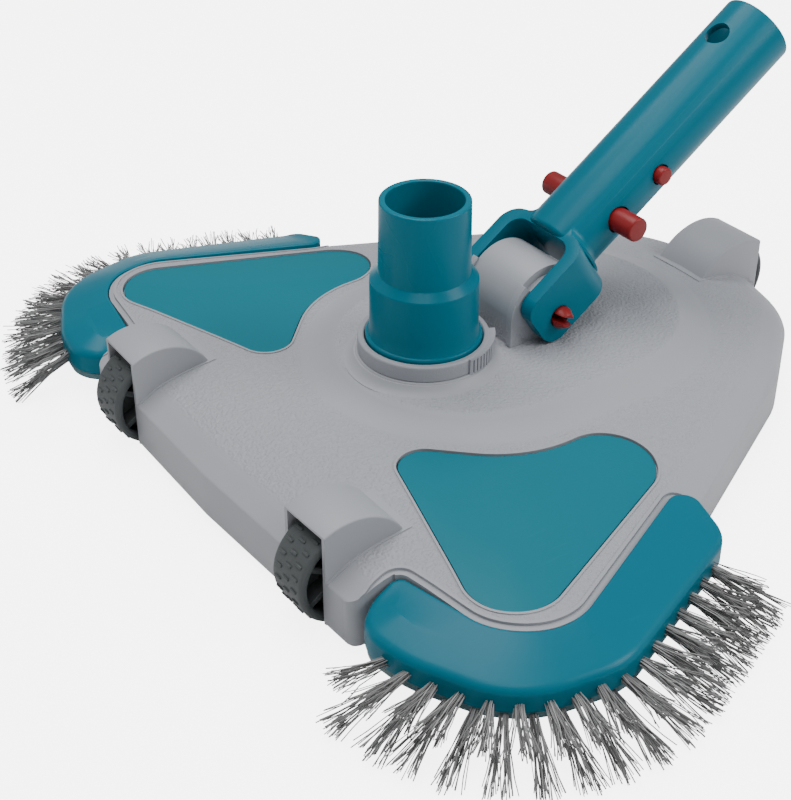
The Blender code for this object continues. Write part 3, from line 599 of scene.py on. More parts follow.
@dataclass(frozen=True)
class Plastic:
    """A moulded plastic finish.

    Attributes:
        name: Material name.
        colour: Main colour, linear.
        second: Colour that the main one drifts to.
        roughness: Roughness of the smooth surface.
        grain: Depth of the mould texture in millimetres, where the grain attribute is 1.
        masked: Whether the grain attribute limits the texture.
        cells: Number of grain cells to a metre.
        peel: Depth of the slow ripple of glossy plastic, in millimetres.
        grain_roughness: Roughness added where the texture is full.
        specular: Strength of the clear reflection.
    """

    name: str
    colour: Point3
    second: Point3
    roughness: float
    grain: float = 0.0
    masked: bool = False
    cells: float = 1000.0
    peel: float = 0.004
    grain_roughness: float = 0.0
    specular: float = 0.35

    def build(self, shop: Shop) -> bpy.types.Material:
        """Make the material.

        Args:
            shop: The shared node groups.

        Returns:
            The material.
        """
        material, w, shader = new_material(self.name)
        place = w.node("TexCoord").outputs["Object"]
        drift = w.shared(shop.drift, place)
        scuff = w.shared(shop.scuff, place)
        lighter = tuple(min(1.0, c * 1.12 + 0.01) for c in self.colour)
        colour = w.mix(drift, opaque(self.colour), opaque(self.second))
        w.link(w.mix(scuff, colour, opaque(lighter)), shader.inputs["Base Color"])
        spread = (self.roughness - 0.03, self.roughness + 0.04)
        rough = w.math("ADD", w.ramp(drift, 0.0, 1.0, spread), w.math("MULTIPLY", scuff, SCUFF_ROUGHNESS))
        normal = w.bump(w.noise(place, RIPPLE_SCALE, 2.0).outputs["Fac"], self.peel)
        if self.grain:
            height = w.shared(shop.grain, place, Cells=self.cells)
            if self.masked:
                mask = w.node("Attribute", attribute_name="grain").outputs["Fac"]
                height = w.math("MULTIPLY", height, mask)
                rough = w.math("ADD", rough, w.math("MULTIPLY", mask, self.grain_roughness))
            normal = w.bump(height, self.grain, Normal=normal)
        w.link(rough, shader.inputs["Roughness"])
        w.link(normal, shader.inputs["Normal"])
        shader.inputs["Specular IOR Level"].default_value = self.specular
        return material


@dataclass(frozen=True)
class Metal:
    """A metal finish: brushed steel or rough casting.

    Attributes:
        name: Material name.
        colour: Main colour, linear.
        dark: Colour in the low places.
        roughness: Mean roughness.
        scale: Texture scale, cells to a metre.
        depth: Bump depth in millimetres.
        stretch: How much the texture is drawn out along x.
    """

    name: str
    colour: Point3
    dark: Point3
    roughness: float
    scale: float
    depth: float
    stretch: float

    def build(self, shop: Shop) -> bpy.types.Material:
        """Make the material from the shared groups."""
        material, w, shader = new_material(self.name)
        place = w.node("TexCoord").outputs["Object"]
        mapped = w.node("Mapping", {"Vector": place, "Scale": (1.0 / self.stretch, 1.0, 1.0)})
        noise = w.noise(mapped.outputs[0], self.scale, 4.0).outputs["Fac"]
        drift = w.shared(shop.drift, place)
        shade = w.ramp(noise, 0.3, 0.7)
        w.link(w.mix(shade, opaque(self.dark), opaque(self.colour)), shader.inputs["Base Color"])
        spread = (self.roughness + 0.08, self.roughness - 0.05)
        rough = w.math("ADD", w.ramp(shade, 0.0, 1.0, spread), w.math("MULTIPLY", drift, 0.05))
        w.link(rough, shader.inputs["Roughness"])
        w.link(w.bump(noise, self.depth), shader.inputs["Normal"])
        shader.inputs["Metallic"].default_value = 1.0
        return material


@dataclass(frozen=True)
class Nylon:
    """Brush filaments, each with its own tone, darker at their ends.

    Attributes:
        name: Material name.
        dark: Darkest filament colour, linear.
        light: Lightest filament colour, linear.
        roughness: Roughness.
        end_dark: How much the ends darken.
    """

    name: str
    dark: Point3
    light: Point3
    roughness: float
    end_dark: float

    def build(self, shop: Shop) -> bpy.types.Material:
        """Make the material from the shared groups."""
        material, w, shader = new_material(self.name)
        tone = w.node("Attribute", attribute_name="strand_tone").outputs["Fac"]
        along = w.node("Attribute", attribute_name="strand_along").outputs["Fac"]
        drift = w.shared(shop.drift, w.node("TexCoord").outputs["Object"])
        fibre = w.mix(tone, opaque(self.dark), opaque(self.light))
        ends = w.math("MULTIPLY", w.ramp(along, 0.55, 1.0), self.end_dark)
        darker = tuple(c * 0.35 for c in self.dark)
        w.link(w.mix(ends, fibre, opaque(darker)), shader.inputs["Base Color"])
        rough = w.math("ADD", self.roughness, w.math("MULTIPLY", drift, 0.1))
        w.link(rough, shader.inputs["Roughness"])
        return material


def grey(level: float) -> Point3:
    """A neutral colour."""
    return (level, level, level)


CASING_GREY = Plastic(
    "casing_grey", (0.335, 0.345, 0.372), (0.320, 0.331, 0.360), 0.44, grain=0.26, masked=True, cells=900.0,
    peel=0.003, grain_roughness=0.06, specular=0.30)
PLAIN_GREY = Plastic("plain_grey", (0.310, 0.322, 0.352), (0.295, 0.307, 0.338), 0.45, grain=0.03,
                     cells=1400.0)
GLOSS_TEAL = Plastic("gloss_teal", (0.0, 0.138, 0.200), (0.0, 0.128, 0.190), 0.30, specular=0.16)
SATIN_TEAL = Plastic(
    "satin_teal", (0.0, 0.150, 0.200), (0.0, 0.140, 0.190), 0.40, grain=0.014, cells=1800.0, specular=0.22)
# Brush strip: a real teal part, but its colour is the holder's teal painted lighter and greyer, a painted
# reflection.
STRIP_SHEEN_TEAL = Plastic("strip_teal", (0.05, 0.14, 0.165), (0.08, 0.17, 0.19), 0.35)
SIGNAL_RED = Plastic("signal_red", (0.25, 0.012, 0.013), (0.22, 0.010, 0.011), 0.36, specular=0.30)
WHEEL_GREY = Plastic("wheel_grey", (0.060, 0.068, 0.071), (0.071, 0.080, 0.083), 0.55, grain=0.02,
                     cells=1500.0)
SEAL_BLACK = Plastic("seal_black", (0.016, 0.016, 0.017), (0.022, 0.022, 0.023), 0.6, grain=0.01,
                     cells=2200.0)
PIN_STEEL = Metal("pin_steel", (0.60, 0.61, 0.62), (0.42, 0.43, 0.44), 0.28, 700.0, 0.004, 8.0)
CAST_BLACK = Metal("cast_black", grey(0.13), grey(0.06), 0.6, 900.0, 0.06, 1.0)
BRUSH_NYLON = Nylon("brush_nylon", grey(0.11), grey(0.36), 0.45, 0.25)


class Finishes:
    """Every material, made once."""

    def __init__(self) -> None:
        """Build the shared groups and the materials."""
        shop = Shop()
        kinds = [CASING_GREY, PLAIN_GREY, GLOSS_TEAL, SATIN_TEAL, STRIP_SHEEN_TEAL, SIGNAL_RED, WHEEL_GREY,
                 SEAL_BLACK,
                 PIN_STEEL, CAST_BLACK, BRUSH_NYLON]
        self.made = {kind.name: kind.build(shop) for kind in kinds}

    def __call__(self, finish: Plastic | Metal | Nylon) -> bpy.types.Material:
        """The material of a finish."""
        return self.made[finish.name]


# ---------------------------------------------------------------- repeated details


def set_input(modifier: bpy.types.Modifier, name: str, value: object) -> None:
    """Set a modifier's input by the name of its socket, through the socket's identifier."""
    for item in modifier.node_group.interface.items_tree:
        if item.item_type == "SOCKET" and item.in_out == "INPUT" and item.name == name:
            modifier[item.identifier] = value
            return
    raise KeyError(name)


def grown(seed_mesh: bpy.types.Mesh, tree: bpy.types.NodeTree, inputs: dict[str, object]) -> bpy.types.Mesh:
    """The plain mesh that a node tree grows on a seed mesh.

    Args:
        seed_mesh: Mesh that the tree starts from.
        tree: The geometry node tree.
        inputs: Input name to value.

    Returns:
        The realized mesh.
    """
    holder = placed("seed", seed_mesh)
    modifier = holder.modifiers.new("Nodes", "NODES")
    modifier.node_group = tree
    for name, value in inputs.items():
        set_input(modifier, name, value)
    mesh = evaluated(holder)
    holder.modifiers.remove(modifier)
    bpy.data.objects.remove(holder)
    return mesh


def new_tree(name: str, inputs: Sequence[tuple[str, str, object]]) -> tuple[Wiring, bpy.types.Node,
                                                                            bpy.types.Node]:
    """A geometry node tree with named inputs, and its input and output nodes."""
    tree = bpy.data.node_groups.new(name, "GeometryNodeTree")
    socket(tree, "Geometry", "Geometry")
    socket(tree, "Geometry", "Geometry", out=True)
    for label, kind, value in inputs:
        socket(tree, label, kind, value)
    wiring = Wiring(tree)
    return wiring, wiring.node("NodeGroupInput"), wiring.node("NodeGroupOutput")


def close_tree(
    w: Wiring, shape: bpy.types.NodeSocket, given: bpy.types.Node, out: bpy.types.Node
) -> bpy.types.NodeTree:
    """End a tree: realize its instances and give them their material."""
    real = w.node("GeometryNodeRealizeInstances", {"Geometry": shape})
    dressed = w.node("GeometryNodeSetMaterial", {"Geometry": real.outputs[0],
                                                 "Material": given.outputs["Material"]})
    w.link(dressed.outputs[0], out.inputs[0])
    return w.tree


def make_copies_tree() -> bpy.types.NodeTree:
    """Copies of one object at each point, turned about an axis by each point's own angle."""
    w, given, out = new_tree("copies_at_points", [("Copy", "Object", None), ("Material", "Material", None)])
    copy = w.node("GeometryNodeObjectInfo", {"Object": given.outputs["Copy"]}, transform_space="ORIGINAL")
    turn = w.node("GeometryNodeInputNamedAttribute", {"Name": "turn"}, data_type="FLOAT_VECTOR")
    placed = w.node(
        "GeometryNodeInstanceOnPoints",
        {"Points": given.outputs["Geometry"], "Instance": copy.outputs["Geometry"],
         "Rotation": turn.outputs[0]},
    )
    return close_tree(w, placed.outputs[0], given, out)


def make_tuft_tree() -> bpy.types.NodeTree:
    """A bundle of bent filaments at each point, aimed by the point's own attributes."""
    w, given, out = new_tree(
        "filament_tufts",
        [("Filaments", "Int", 30), ("Length", "Float", 0.02), ("Thickness", "Float", 0.00018),
         ("Root Radius", "Float", 0.0016), ("Spread Wide", "Float", 0.2), ("Spread High", "Float", 0.1),
         ("Bend", "Float", 0.002), ("Waviness", "Float", 0.001), ("Seed", "Int", 1),
         ("Material", "Material", None)],
    )
    g = given.outputs
    amount = {"Geometry": g["Geometry"], "Amount": g["Filaments"]}
    many = w.node("GeometryNodeDuplicateElements", amount, domain="POINT")

    def chance(offset: int, low: float = -1.0, high: float = 1.0) -> bpy.types.NodeSocket:
        """A random number for each filament."""
        seed = w.math("ADD", g["Seed"], offset)
        made = w.node("FunctionNodeRandomValue", {2: low, 3: high, "Seed": seed}, data_type="FLOAT")
        return made.outputs[1]

    def pointing(name: str) -> bpy.types.NodeSocket:
        """A direction stored on the points."""
        return w.node("GeometryNodeInputNamedAttribute", {"Name": name}, data_type="FLOAT_VECTOR").outputs[0]

    def noting(shape: bpy.types.Node, name: str, value: bpy.types.NodeSocket, domain: str) -> bpy.types.Node:
        """Store a number on the points or the instances of a shape."""
        inputs = {"Geometry": shape.outputs[0], "Name": name, "Value": value}
        return w.node("GeometryNodeStoreNamedAttribute", inputs, data_type="FLOAT", domain=domain)

    aim, side = pointing("aim"), pointing("side")
    up = w.vector("CROSS_PRODUCT", side, aim)
    across, over = chance(1), chance(2)
    root = w.vector("ADD", w.vector("SCALE", side, w.math("MULTIPLY", across, g["Root Radius"])),
                    w.vector("SCALE", up, w.math("MULTIPLY", over, g["Root Radius"])))
    spread = w.math("ADD", w.math("MULTIPLY", across, 0.65), w.math("MULTIPLY", chance(3), 0.5))
    wide = w.vector("SCALE", side, w.math("MULTIPLY", spread, g["Spread Wide"]))
    high = w.vector("SCALE", up, w.math("MULTIPLY", chance(4), g["Spread High"]))
    heading = w.vector("ADD", aim, w.vector("ADD", wide, high))
    moved = w.node("GeometryNodeSetPosition", {"Geometry": many.outputs[0], "Offset": root})

    curve = w.node(
        "GeometryNodeCurveQuadraticBezier",
        {"Resolution": 5, "Start": (0.0, 0.0, 0.0), "Middle": (0.0, 0.0, 0.5), "End": (0.0, 0.0, 1.0)},
    )
    factor = w.node("GeometryNodeSplineParameter").outputs["Factor"]
    sag = w.math("MULTIPLY", w.math("POWER", factor, 2.0), g["Bend"])
    shift = w.node("CombineXYZ", {"X": sag}).outputs[0]
    bent = w.node("GeometryNodeSetPosition", {"Geometry": curve.outputs[0], "Offset": shift})
    noted = noting(bent, "strand_along", factor, "POINT")
    section = w.node("GeometryNodeCurvePrimitiveCircle", {"Resolution": 4, "Radius": g["Thickness"]})
    filament = w.node(
        "GeometryNodeCurveToMesh",
        {"Curve": noted.outputs[0], "Profile Curve": section.outputs[0], "Fill Caps": True},
    )
    facing = w.node("FunctionNodeAlignRotationToVector", {"Vector": heading}, axis="Z")
    roll = w.node("CombineXYZ", {"Z": chance(5, 0.0, math.tau)})
    turn = {"Rotation": facing.outputs[0], "Rotate By": roll.outputs[0]}
    rolled = w.node("FunctionNodeRotateRotation", turn, rotation_space="LOCAL")
    reach = w.math("MULTIPLY", g["Length"], chance(6, 0.88, 1.04))
    size = w.node("CombineXYZ", {"X": 1.0, "Y": 1.0, "Z": reach})
    each = {"Points": moved, "Instance": filament, "Rotation": rolled, "Scale": size}
    sown = w.node("GeometryNodeInstanceOnPoints", {name: node.outputs[0] for name, node in each.items()})
    toned = noting(sown, "strand_tone", chance(7, 0.0, 1.0), "INSTANCE")
    real = w.node("GeometryNodeRealizeInstances", {"Geometry": toned.outputs[0]})
    along = w.node("GeometryNodeInputNamedAttribute", {"Name": "strand_along"}, data_type="FLOAT").outputs[0]
    noise = w.noise(w.node("GeometryNodeInputPosition").outputs[0], 260.0, 1.0)
    centred = w.vector("SUBTRACT", noise.outputs["Color"], (0.5, 0.5, 0.5))
    drift = w.vector("SCALE", centred, w.math("MULTIPLY", along, g["Waviness"]))
    waved = w.node("GeometryNodeSetPosition", {"Geometry": real.outputs[0], "Offset": drift})
    return close_tree(w, waved.outputs[0], given, out)


@dataclass
class Workshop:
    """What every sub-assembly needs: finishes and node trees."""

    finishes: Finishes = field(default_factory=Finishes)
    copies: bpy.types.NodeTree = field(default_factory=make_copies_tree)
    tufts: bpy.types.NodeTree = field(default_factory=make_tuft_tree)

    def piece(
        self,
        name: str,
        mesh: bpy.types.Mesh,
        finish: Plastic | Metal | Nylon,
        body: str,
        nodes: Sequence[str],
        place: Matrix = ON_FRAME,
        sharp: float = 32.0,
    ) -> bpy.types.Object:
        """Make a finished piece that rides on a body.

        Args:
            name: Piece name.
            mesh: Its mesh.
            finish: Its finish.
            body: Body of the frame that it moves with.
            nodes: Frame nodes that it stands for.
            place: Where the mesh's own frame lies.
            sharp: Edges sharper than this many degrees stay crisp.

        Returns:
            The object.
        """
        mesh.transform(place)
        mesh.name = name
        mesh.materials.clear()
        mesh.materials.append(self.finishes(finish))
        mesh.shade_smooth()
        mesh.set_sharp_from_angle(angle=math.radians(sharp))
        obj = placed(name, mesh)
        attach(obj, body)
        if nodes:
            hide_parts(*nodes)
        LOG.info("%s: %d faces", name, len(mesh.polygons))
        return obj

    def copied(self, mesh: bpy.types.Mesh, points: Sequence[Point3],
               turns: Sequence[Point3]) -> bpy.types.Mesh:
        """Copies of a mesh at points, each with its own rotation."""
        seed = bpy.data.meshes.new("points")
        seed.from_pydata([tuple(p) for p in points], [], [])
        seed.attributes.new("turn", "FLOAT_VECTOR", "POINT").data.foreach_set("vector", np.ravel(turns))
        original = placed("copy", mesh)
        result = grown(seed, self.copies, {"Copy": original, "Material": self.finishes(PLAIN_GREY)})
        bpy.data.objects.remove(original)
        return result

    def dress(self, node: str, finish: Plastic | Metal | Nylon) -> None:
        """Give a frame node its finish."""
        obj = frame["nodes"][node]
        for material_slot in obj.material_slots:
            material_slot.material = self.finishes(finish)
        LOG.info("%s keeps its shape", node)


# ---------------------------------------------------------------- casing


@dataclass
class Casing:
    """The grey moulding: crowned deck, plateau, fenders, collar and lug."""

    front_y: float = -0.0924
    back_y: float = 0.1622
    bottom_z: float = 0.0036
    deck_z: float = 0.0296
    plateau_z: float = 0.0346
    plateau_line: Point = (0.020, 0.060)
    plateau_radii: Point = (0.0485, 0.0640)
    ray_centre: Point = (0.0, 0.038)
    rays: int = 360
    wall: float = 0.0030
    lug_radius: float = 0.0167
    cheek_radius: float = 0.0176
    lug_half: float = 0.0126
    cheek_half: float = 0.0150
    well_half: float = 0.0092
    holder_gap: float = 0.0004
    above: float = 0.060
    front_fender: Point3 = (0.0229, -0.0915, 0.0107)
    rear_fender: Point3 = (0.0253, 0.1612, 0.0121)
    rear_fender_axis: Point = (0.1490, 0.0138)

    def corners(self) -> list[Point3]:
        """The outline's corners, anticlockwise from the middle of the front."""
        right = [
            (0.1000, -0.0892, 0.020),
            (0.1420, -0.0720, 0.030),
            (0.1460, -0.0420, 0.030),
            (0.0700, 0.1120, 0.050),
            (0.0400, 0.1500, 0.042),
        ]
        left = [(-x, y, r) for x, y, r in reversed(right)]
        return [(0.0, self.front_y, 0.0), *right, (0.0, self.back_y, 0.0), *left]

    def inside(self, distance: float) -> list[Point]:
        """The outline moved in by a distance."""
        return rounded(moved_in(self.corners(), distance, 0.004), 3.0)

    def __post_init__(self) -> None:
        """Prepare the outline and the crown's cross-section."""
        self.outline = rounded(self.corners(), 3.0)
        inset = np.array([0.0, 8.6, 13.0, 21.0, 30.0, 42.0, 60.0]) * MM
        height = np.array([21.1, 25.6, 26.8, 28.1, 28.9, 29.6, 29.6]) * MM
        self.fine_inset = np.linspace(0.0, 0.060, 1201)
        raw = np.interp(self.fine_inset, inset, height)
        padded = np.pad(raw, 20, mode="reflect", reflect_type="odd")
        self.fine_height = np.convolve(padded, np.ones(41) / 41, mode="valid")

    def crown(self, points: np.ndarray) -> np.ndarray:
        """Height of the crowned deck at points of the plan."""
        inset = distance_to(points, self.outline)
        height = np.interp(inset, self.fine_inset, self.fine_height)
        back = smooth_step(0.105, 0.160, points[:, 1]) * np.clip(1.0 - inset / 0.035, 0.0, 1.0)
        edge = 0.0006 + 0.0050 * smooth_step(0.070, 0.150, points[:, 1])
        return height - 0.0026 * back - edge_drop(inset, edge)

    def plateau_distance(self, points: np.ndarray) -> np.ndarray:
        """Distance from the plateau's centre line."""
        low, high = self.plateau_line
        nearest = np.clip(points[:, 1], low, high)
        return np.hypot(points[:, 0], points[:, 1] - nearest)

    def plateau_share(self, points: np.ndarray) -> np.ndarray:
        """1 on top of the plateau, 0 on the deck, in between on its hollow slope."""
        inner, outer = self.plateau_radii
        t = np.clip((self.plateau_distance(points) - inner) / (outer - inner), 0.0, 1.0)
        round_top = np.clip(t / 0.10, 0.0, 1.0)
        return 1.0 - (1.0 - (1.0 - t) ** 2.0) * (0.6 + 0.4 * round_top)

    def surface(self, points: np.ndarray) -> np.ndarray:
        """Height of the whole top surface."""
        deck = self.crown(points)
        return deck + (self.plateau_z - deck) * self.plateau_share(points)

    def ray_ring(self, outline: Sequence[Point]) -> np.ndarray:
        """Where even rays from the centre meet an outline."""
        angles = np.linspace(0.0, math.tau, self.rays, endpoint=False) - math.pi / 2
        direction = np.stack([np.cos(angles), np.sin(angles)], 1)
        start = np.asarray(outline, float) - self.ray_centre
        along = np.roll(start, -1, axis=0) - start
        cross = direction[:, :1] * along[None, :, 1] - direction[:, 1:] * along[None, :, 0]
        safe = np.where(np.abs(cross) < 1e-14, 1.0, cross)
        reach = (start[:, 0] * along[:, 1] - start[:, 1] * along[:, 0])[None] / safe
        share = (start[None, :, 0] * direction[:, 1:] - start[None, :, 1] * direction[:, :1]) / safe
        valid = (np.abs(cross) > 1e-14) & (share >= -1e-7) & (share <= 1 + 1e-7) & (reach > 0)
        far = np.where(valid, reach, 0.0).max(1)
        return np.asarray(self.ray_centre) + direction * far[:, None]

    def stadium(self, radius: float) -> list[Point]:
        """A plateau-shaped outline of a radius."""
        low, high = self.plateau_line
        return arc((0.0, high), radius, 0.0, math.pi, 60) + arc((0.0, low), radius, math.pi, math.tau, 60)

    def blank(self, raised: float = 0.0, trim: float = 0.0) -> bpy.types.Mesh:
        """The solid body.

        Args:
            raised: How much higher the top lies.
            trim: How much further in the outline lies.

        Returns:
            A closed mesh.
        """
        edge = [0.0, 0.00005, 0.00015, 0.0003, 0.0005, 0.0008, 0.0012, 0.0018, 0.0026, 0.0036, 0.0048, 0.0064,
                0.0082, 0.0102, 0.0125, 0.0150]
        plan = [self.ray_ring(self.inside(d + trim)) for d in edge]
        inner, outer = self.plateau_radii
        slope = [self.ray_ring(self.stadium(outer + 0.002 - (outer - inner + 0.004) * i / 14))
                 for i in range(15)]
        bridge = [plan[-1] + (slope[0] - plan[-1]) * i / 13 for i in range(1, 13)]
        centre = np.asarray(self.ray_centre)
        middle = [centre + (slope[-1] - centre) * share for share in (0.85, 0.6, 0.3, 0.05)]
        foot = [(self.ray_ring(self.inside(0.0012 + trim)), 0.0),
                (self.ray_ring(self.inside(0.0003 + trim)), 0.0004),
                (plan[0], 0.0013)]
        rings = [np.column_stack([ring, np.full(self.rays, self.bottom_z + up)]) for ring, up in foot]
        for ring in [*plan, *bridge, *slope, *middle]:
            rings.append(np.column_stack([ring, self.surface(ring) + raised]))
        return loft([ring.tolist() for ring in rings])

    def cavity(self) -> bpy.types.Mesh:
        """The space inside, under the top wall."""
        levels = [(self.wall, -0.001), (self.wall, 0.0150), (0.007, 0.0195), (0.014, 0.0220), (0.026, 0.0238)]
        rings = []
        for inset, height in levels:
            ring = self.ray_ring(self.inside(inset))
            rings.append([(x, y, height) for x, y in ring[::4]])
        space = Solid(loft(rings))
        space.cut(*[band(HOLDER, side, -0.0033, -0.002, 0.06) for side in Side])
        corner = [(0.0775, -0.1), (0.1, -0.1), (0.1, -0.07), (0.0775, -0.07)]
        return space.cut(*[prism(on_side(side, corner), -0.002, 0.06) for side in Side]).applied()

    def fender(self, x: float, centre: Point, radius: float, face_y: float, half: float) -> bpy.types.Mesh:
        """A fender with flat sides and a top that is part of a cylinder.

        Args:
            x: Middle of the fender.
            centre: (y, z) of the cylinder's axis.
            radius: Radius of the top.
            face_y: Where the mouth's plane lies.
            half: Half its width.

        Returns:
            A closed mesh with rounded edges.
        """
        toward = 1.0 if face_y > centre[0] else -1.0
        inner_z = self.deck_z - 0.005
        inner_y = math.sqrt(radius**2 - (inner_z - centre[1]) ** 2)
        start = math.atan2(inner_z - centre[1], inner_y)
        end = math.acos(-abs(face_y - centre[0]) / radius)
        top = [(centre[0] - toward * u, z) for u, z in arc((0.0, centre[1]), radius, start, end, 44)]
        base = self.bottom_z + 0.0004
        outline = [(centre[0] - toward * inner_y, base), *top, (face_y, base)]
        return rounded_edges(prism(outline, x - half, x + half, "x"), 0.0007)

    def lug(self) -> list[bpy.types.Mesh]:
        """The barrel of the hinge and its wider cheeks."""
        centre = (PIVOT.y - HOSE_Y, PIVOT.z)
        floor = self.plateau_z - 0.004

        def side(radius: float, step: float | None) -> list[Point]:
            """Side outline; with a step the top falls back to a smaller radius."""
            back = step or radius
            points = [(centre[0] - radius, floor)]
            if step is None:
                points += arc(centre, radius, math.pi, 0.0, 60)
            else:
                points += arc(centre, radius, math.pi, math.radians(132), 16)
                points += arc(centre, step, math.radians(132), 0.0, 40)
            return [*points, (centre[0] + back, floor)]

        barrel = rounded_edges(prism(side(self.lug_radius, None), -self.lug_half, self.lug_half, "x"), 0.0006)
        outline = side(self.cheek_radius, 0.0135)
        spans = [(-self.cheek_half, 0.0004 - self.lug_half), (self.lug_half - 0.0004, self.cheek_half)]
        return [barrel, gathered([rounded_edges(prism(outline, *span, "x"), 0.0007) for span in spans])]

    def corner_cut(self) -> list[Point]:
        """What a rounded front corner leaves open beside a brush holder's end."""
        x, y, radius = 0.0843, -0.0898, 0.0045
        curve = arc((x - radius, y + radius), radius, 0.0, -math.pi / 2, 10)
        return [(x - radius, -0.100), (0.100, -0.100), (0.100, -0.074), (x + 0.0004, -0.074), *curve]

    def build(self, shop: Workshop) -> None:
        """Make the casing, dress it and hang it on the head."""
        front = [middle(f"wheel_front_{side.word}") for side in Side]
        rear = middle("wheel_rear")
        body = Solid(self.blank()).join(self.lip(front))
        body.join(*self.fenders(front)).join(self.collar())
        barrel, cheeks = self.lug()
        body.join(barrel).join(cheeks)
        body.cut(*[band(HOLDER, side, -self.holder_gap, 0.0, self.above) for side in Side])
        body.cut(*[prism(on_side(side, self.corner_cut()), 0.0, self.above) for side in Side])
        body.cut(self.step()).cut(self.cavity())
        body.join(*self.ledges(), *self.journals(front))
        wells, mouths = self.wheel_spaces([*front, rear])
        body.cut(*wells, self.port()).cut(*mouths)
        pivot = (0.0, PIVOT.y - HOSE_Y, PIVOT.z)
        recess = [band(COVER, side, -0.0003, 0.0262, 0.05) for side in Side]
        body.cut(rod(PIN_HOLE, -0.02, 0.02, "x", pivot, 48), *recess)
        mesh = body.applied()
        paint(mesh, "grain", self.grain_mask(positions(mesh)))
        shop.piece("casing", mesh, CASING_GREY, "head", ["top_shell"])

    def lip(self, front: Sequence[Vector]) -> bpy.types.Mesh:
        """The thin raised skin beside the holders, the covers and the wheels."""
        low, high = 0.010, self.above
        bands = []
        for side in Side:
            bands.append(band(HOLDER, side, -0.0034, low, high))
            bands.append(band(COVER, side, -0.0011, low, high))
        bands += [block((c.x - 0.0116, -0.0935, 0.012), (c.x + 0.0116, -0.0578, high)) for c in front]
        bands.append(block((-0.0130, 0.1262, 0.012), (0.0130, 0.1640, high)))
        return Solid(self.blank(0.0004, 0.0002)).keep(*bands).applied()

    def fenders(self, front: Sequence[Vector]) -> list[bpy.types.Mesh]:
        """The front fenders, kept inside the front wall, and the rear one."""
        within = prism(self.inside(0.00003), -0.001, 0.06)
        meshes = [self.fender(c.x, (c.y - HOSE_Y, c.z), *self.front_fender) for c in front]
        kept = [Solid(mesh).keep(within).applied() for mesh in meshes]
        return [*kept, self.fender(0.0, self.rear_fender_axis, *self.rear_fender)]

    def collar(self) -> bpy.types.Mesh:
        """The low disc that the twist ring stands on."""
        low, radius = 0.030, 0.0290
        slope = [(radius, 0.0346), (0.0279, 0.03485), (0.0262, 0.0362), (0.0252, 0.0376)]
        top = arc((0.0241, 0.0377), 0.0005, 0.0, math.pi / 2, 3)
        return turned([(0.0, low), (radius, low), *slope, *top, (0.0, 0.0382)], 120)

    def step(self) -> bpy.types.Mesh:
        """The narrow step that runs round each holder, a little below the surface."""
        around = gathered([band(HOLDER, side, -0.0023, 0.012, self.above) for side in Side])
        return Solid(around).cut(self.blank(-0.0006)).applied()

    def ledges(self) -> list[bpy.types.Mesh]:
        """The ledges that the brushes are screwed to."""
        solids = [Solid(prism(rounded(on_side(side, LEDGE)), 0.0057, 0.0097)) for side in Side]
        return [solid.keep(band(HOLDER, side, -0.0025, 0.0, 0.02)).applied() for solid,
                side in zip(solids, Side)]

    def journals(self, front: Sequence[Vector]) -> list[bpy.types.Mesh]:
        """The blocks that hold the axles."""
        meshes = [block((c.x - 0.0142, -0.0860, 0.006), (c.x + 0.0142, -0.0750, 0.0215)) for c in front]
        return [*meshes, block((-0.0150, 0.1460, 0.006), (0.0150, 0.1570, 0.0195))]

    def wheel_spaces(self, centres: Sequence[Vector]) -> tuple[list[bpy.types.Mesh], list[bpy.types.Mesh]]:
        """The round wells of the wheels and the openings in front of them, the rear wheel last."""
        half = self.well_half
        wells, mouths = [], []
        for c in centres[:2]:
            at = (c.x, c.y - HOSE_Y, c.z)
            wells.append(rod(0.0202, -half, half, "x", at, 96))
            mouths.append(block((c.x - half, -0.11, -0.001), (c.x + half, at[1], 0.0378)))
        at = (0.0, centres[2].y - HOSE_Y, centres[2].z)
        wells.append(rod(0.0192, -half, half, "x", at, 96))
        mouths.append(block((-half, at[1], -0.001), (half, 0.18, 0.0350)))
        return wells, mouths

    def port(self) -> bpy.types.Mesh:
        """The stepped hole for the spigot and its flange."""
        low, shoulder, bore, seat = 0.018, 0.033, 0.0175, 0.0231
        return turned([(0.0, low), (bore, low), (bore, shoulder), (seat, shoulder), (seat, 0.05),
                       (0.0, 0.05)], 96)

    def grain_mask(self, points: np.ndarray) -> np.ndarray:
        """1 where the deck carries the mould texture."""
        plan = points[:, :2]
        off = np.abs(points[:, 2] - self.surface(plan))
        inset = distance_to(plan, self.outline)
        share = self.plateau_share(plan)
        level = np.where(share > 0.5, smooth_step(0.955, 0.995, share), 1.0 - smooth_step(0.01, 0.05, share))
        return (off < 0.0002) * smooth_step(0.0080, 0.0110, inset) * level


# ---------------------------------------------------------------- covers, plate, weights


@dataclass
class Covers:
    """The flush covers over the weights, and the plain parts under them."""

    gap: float = 0.0003
    sunk: float = 0.0002

    def build(self, shop: Workshop, casing: Casing) -> None:
        """Cut each cover out of the casing's own surface so that it lies flush."""
        for side in Side:
            cover = Solid(casing.blank(-self.sunk))
            cover.keep(band(COVER, side, self.gap, 0.0264, 0.05, 3.0))
            mesh = cover.applied()
            name = f"weight_cover_{side.word}"
            shop.piece(f"cover_{side.word}", mesh, SATIN_TEAL, "head", [name])
            shop.dress(f"weight_{side.word}", CAST_BLACK)
        shop.dress("base_plate", PLAIN_GREY)
        shop.dress("spigot_seal", SEAL_BLACK)
        for name in ("front_left", "front_right", "rear"):
            shop.dress(f"axle_{name}", PIN_STEEL)


# ---------------------------------------------------------------- brushes


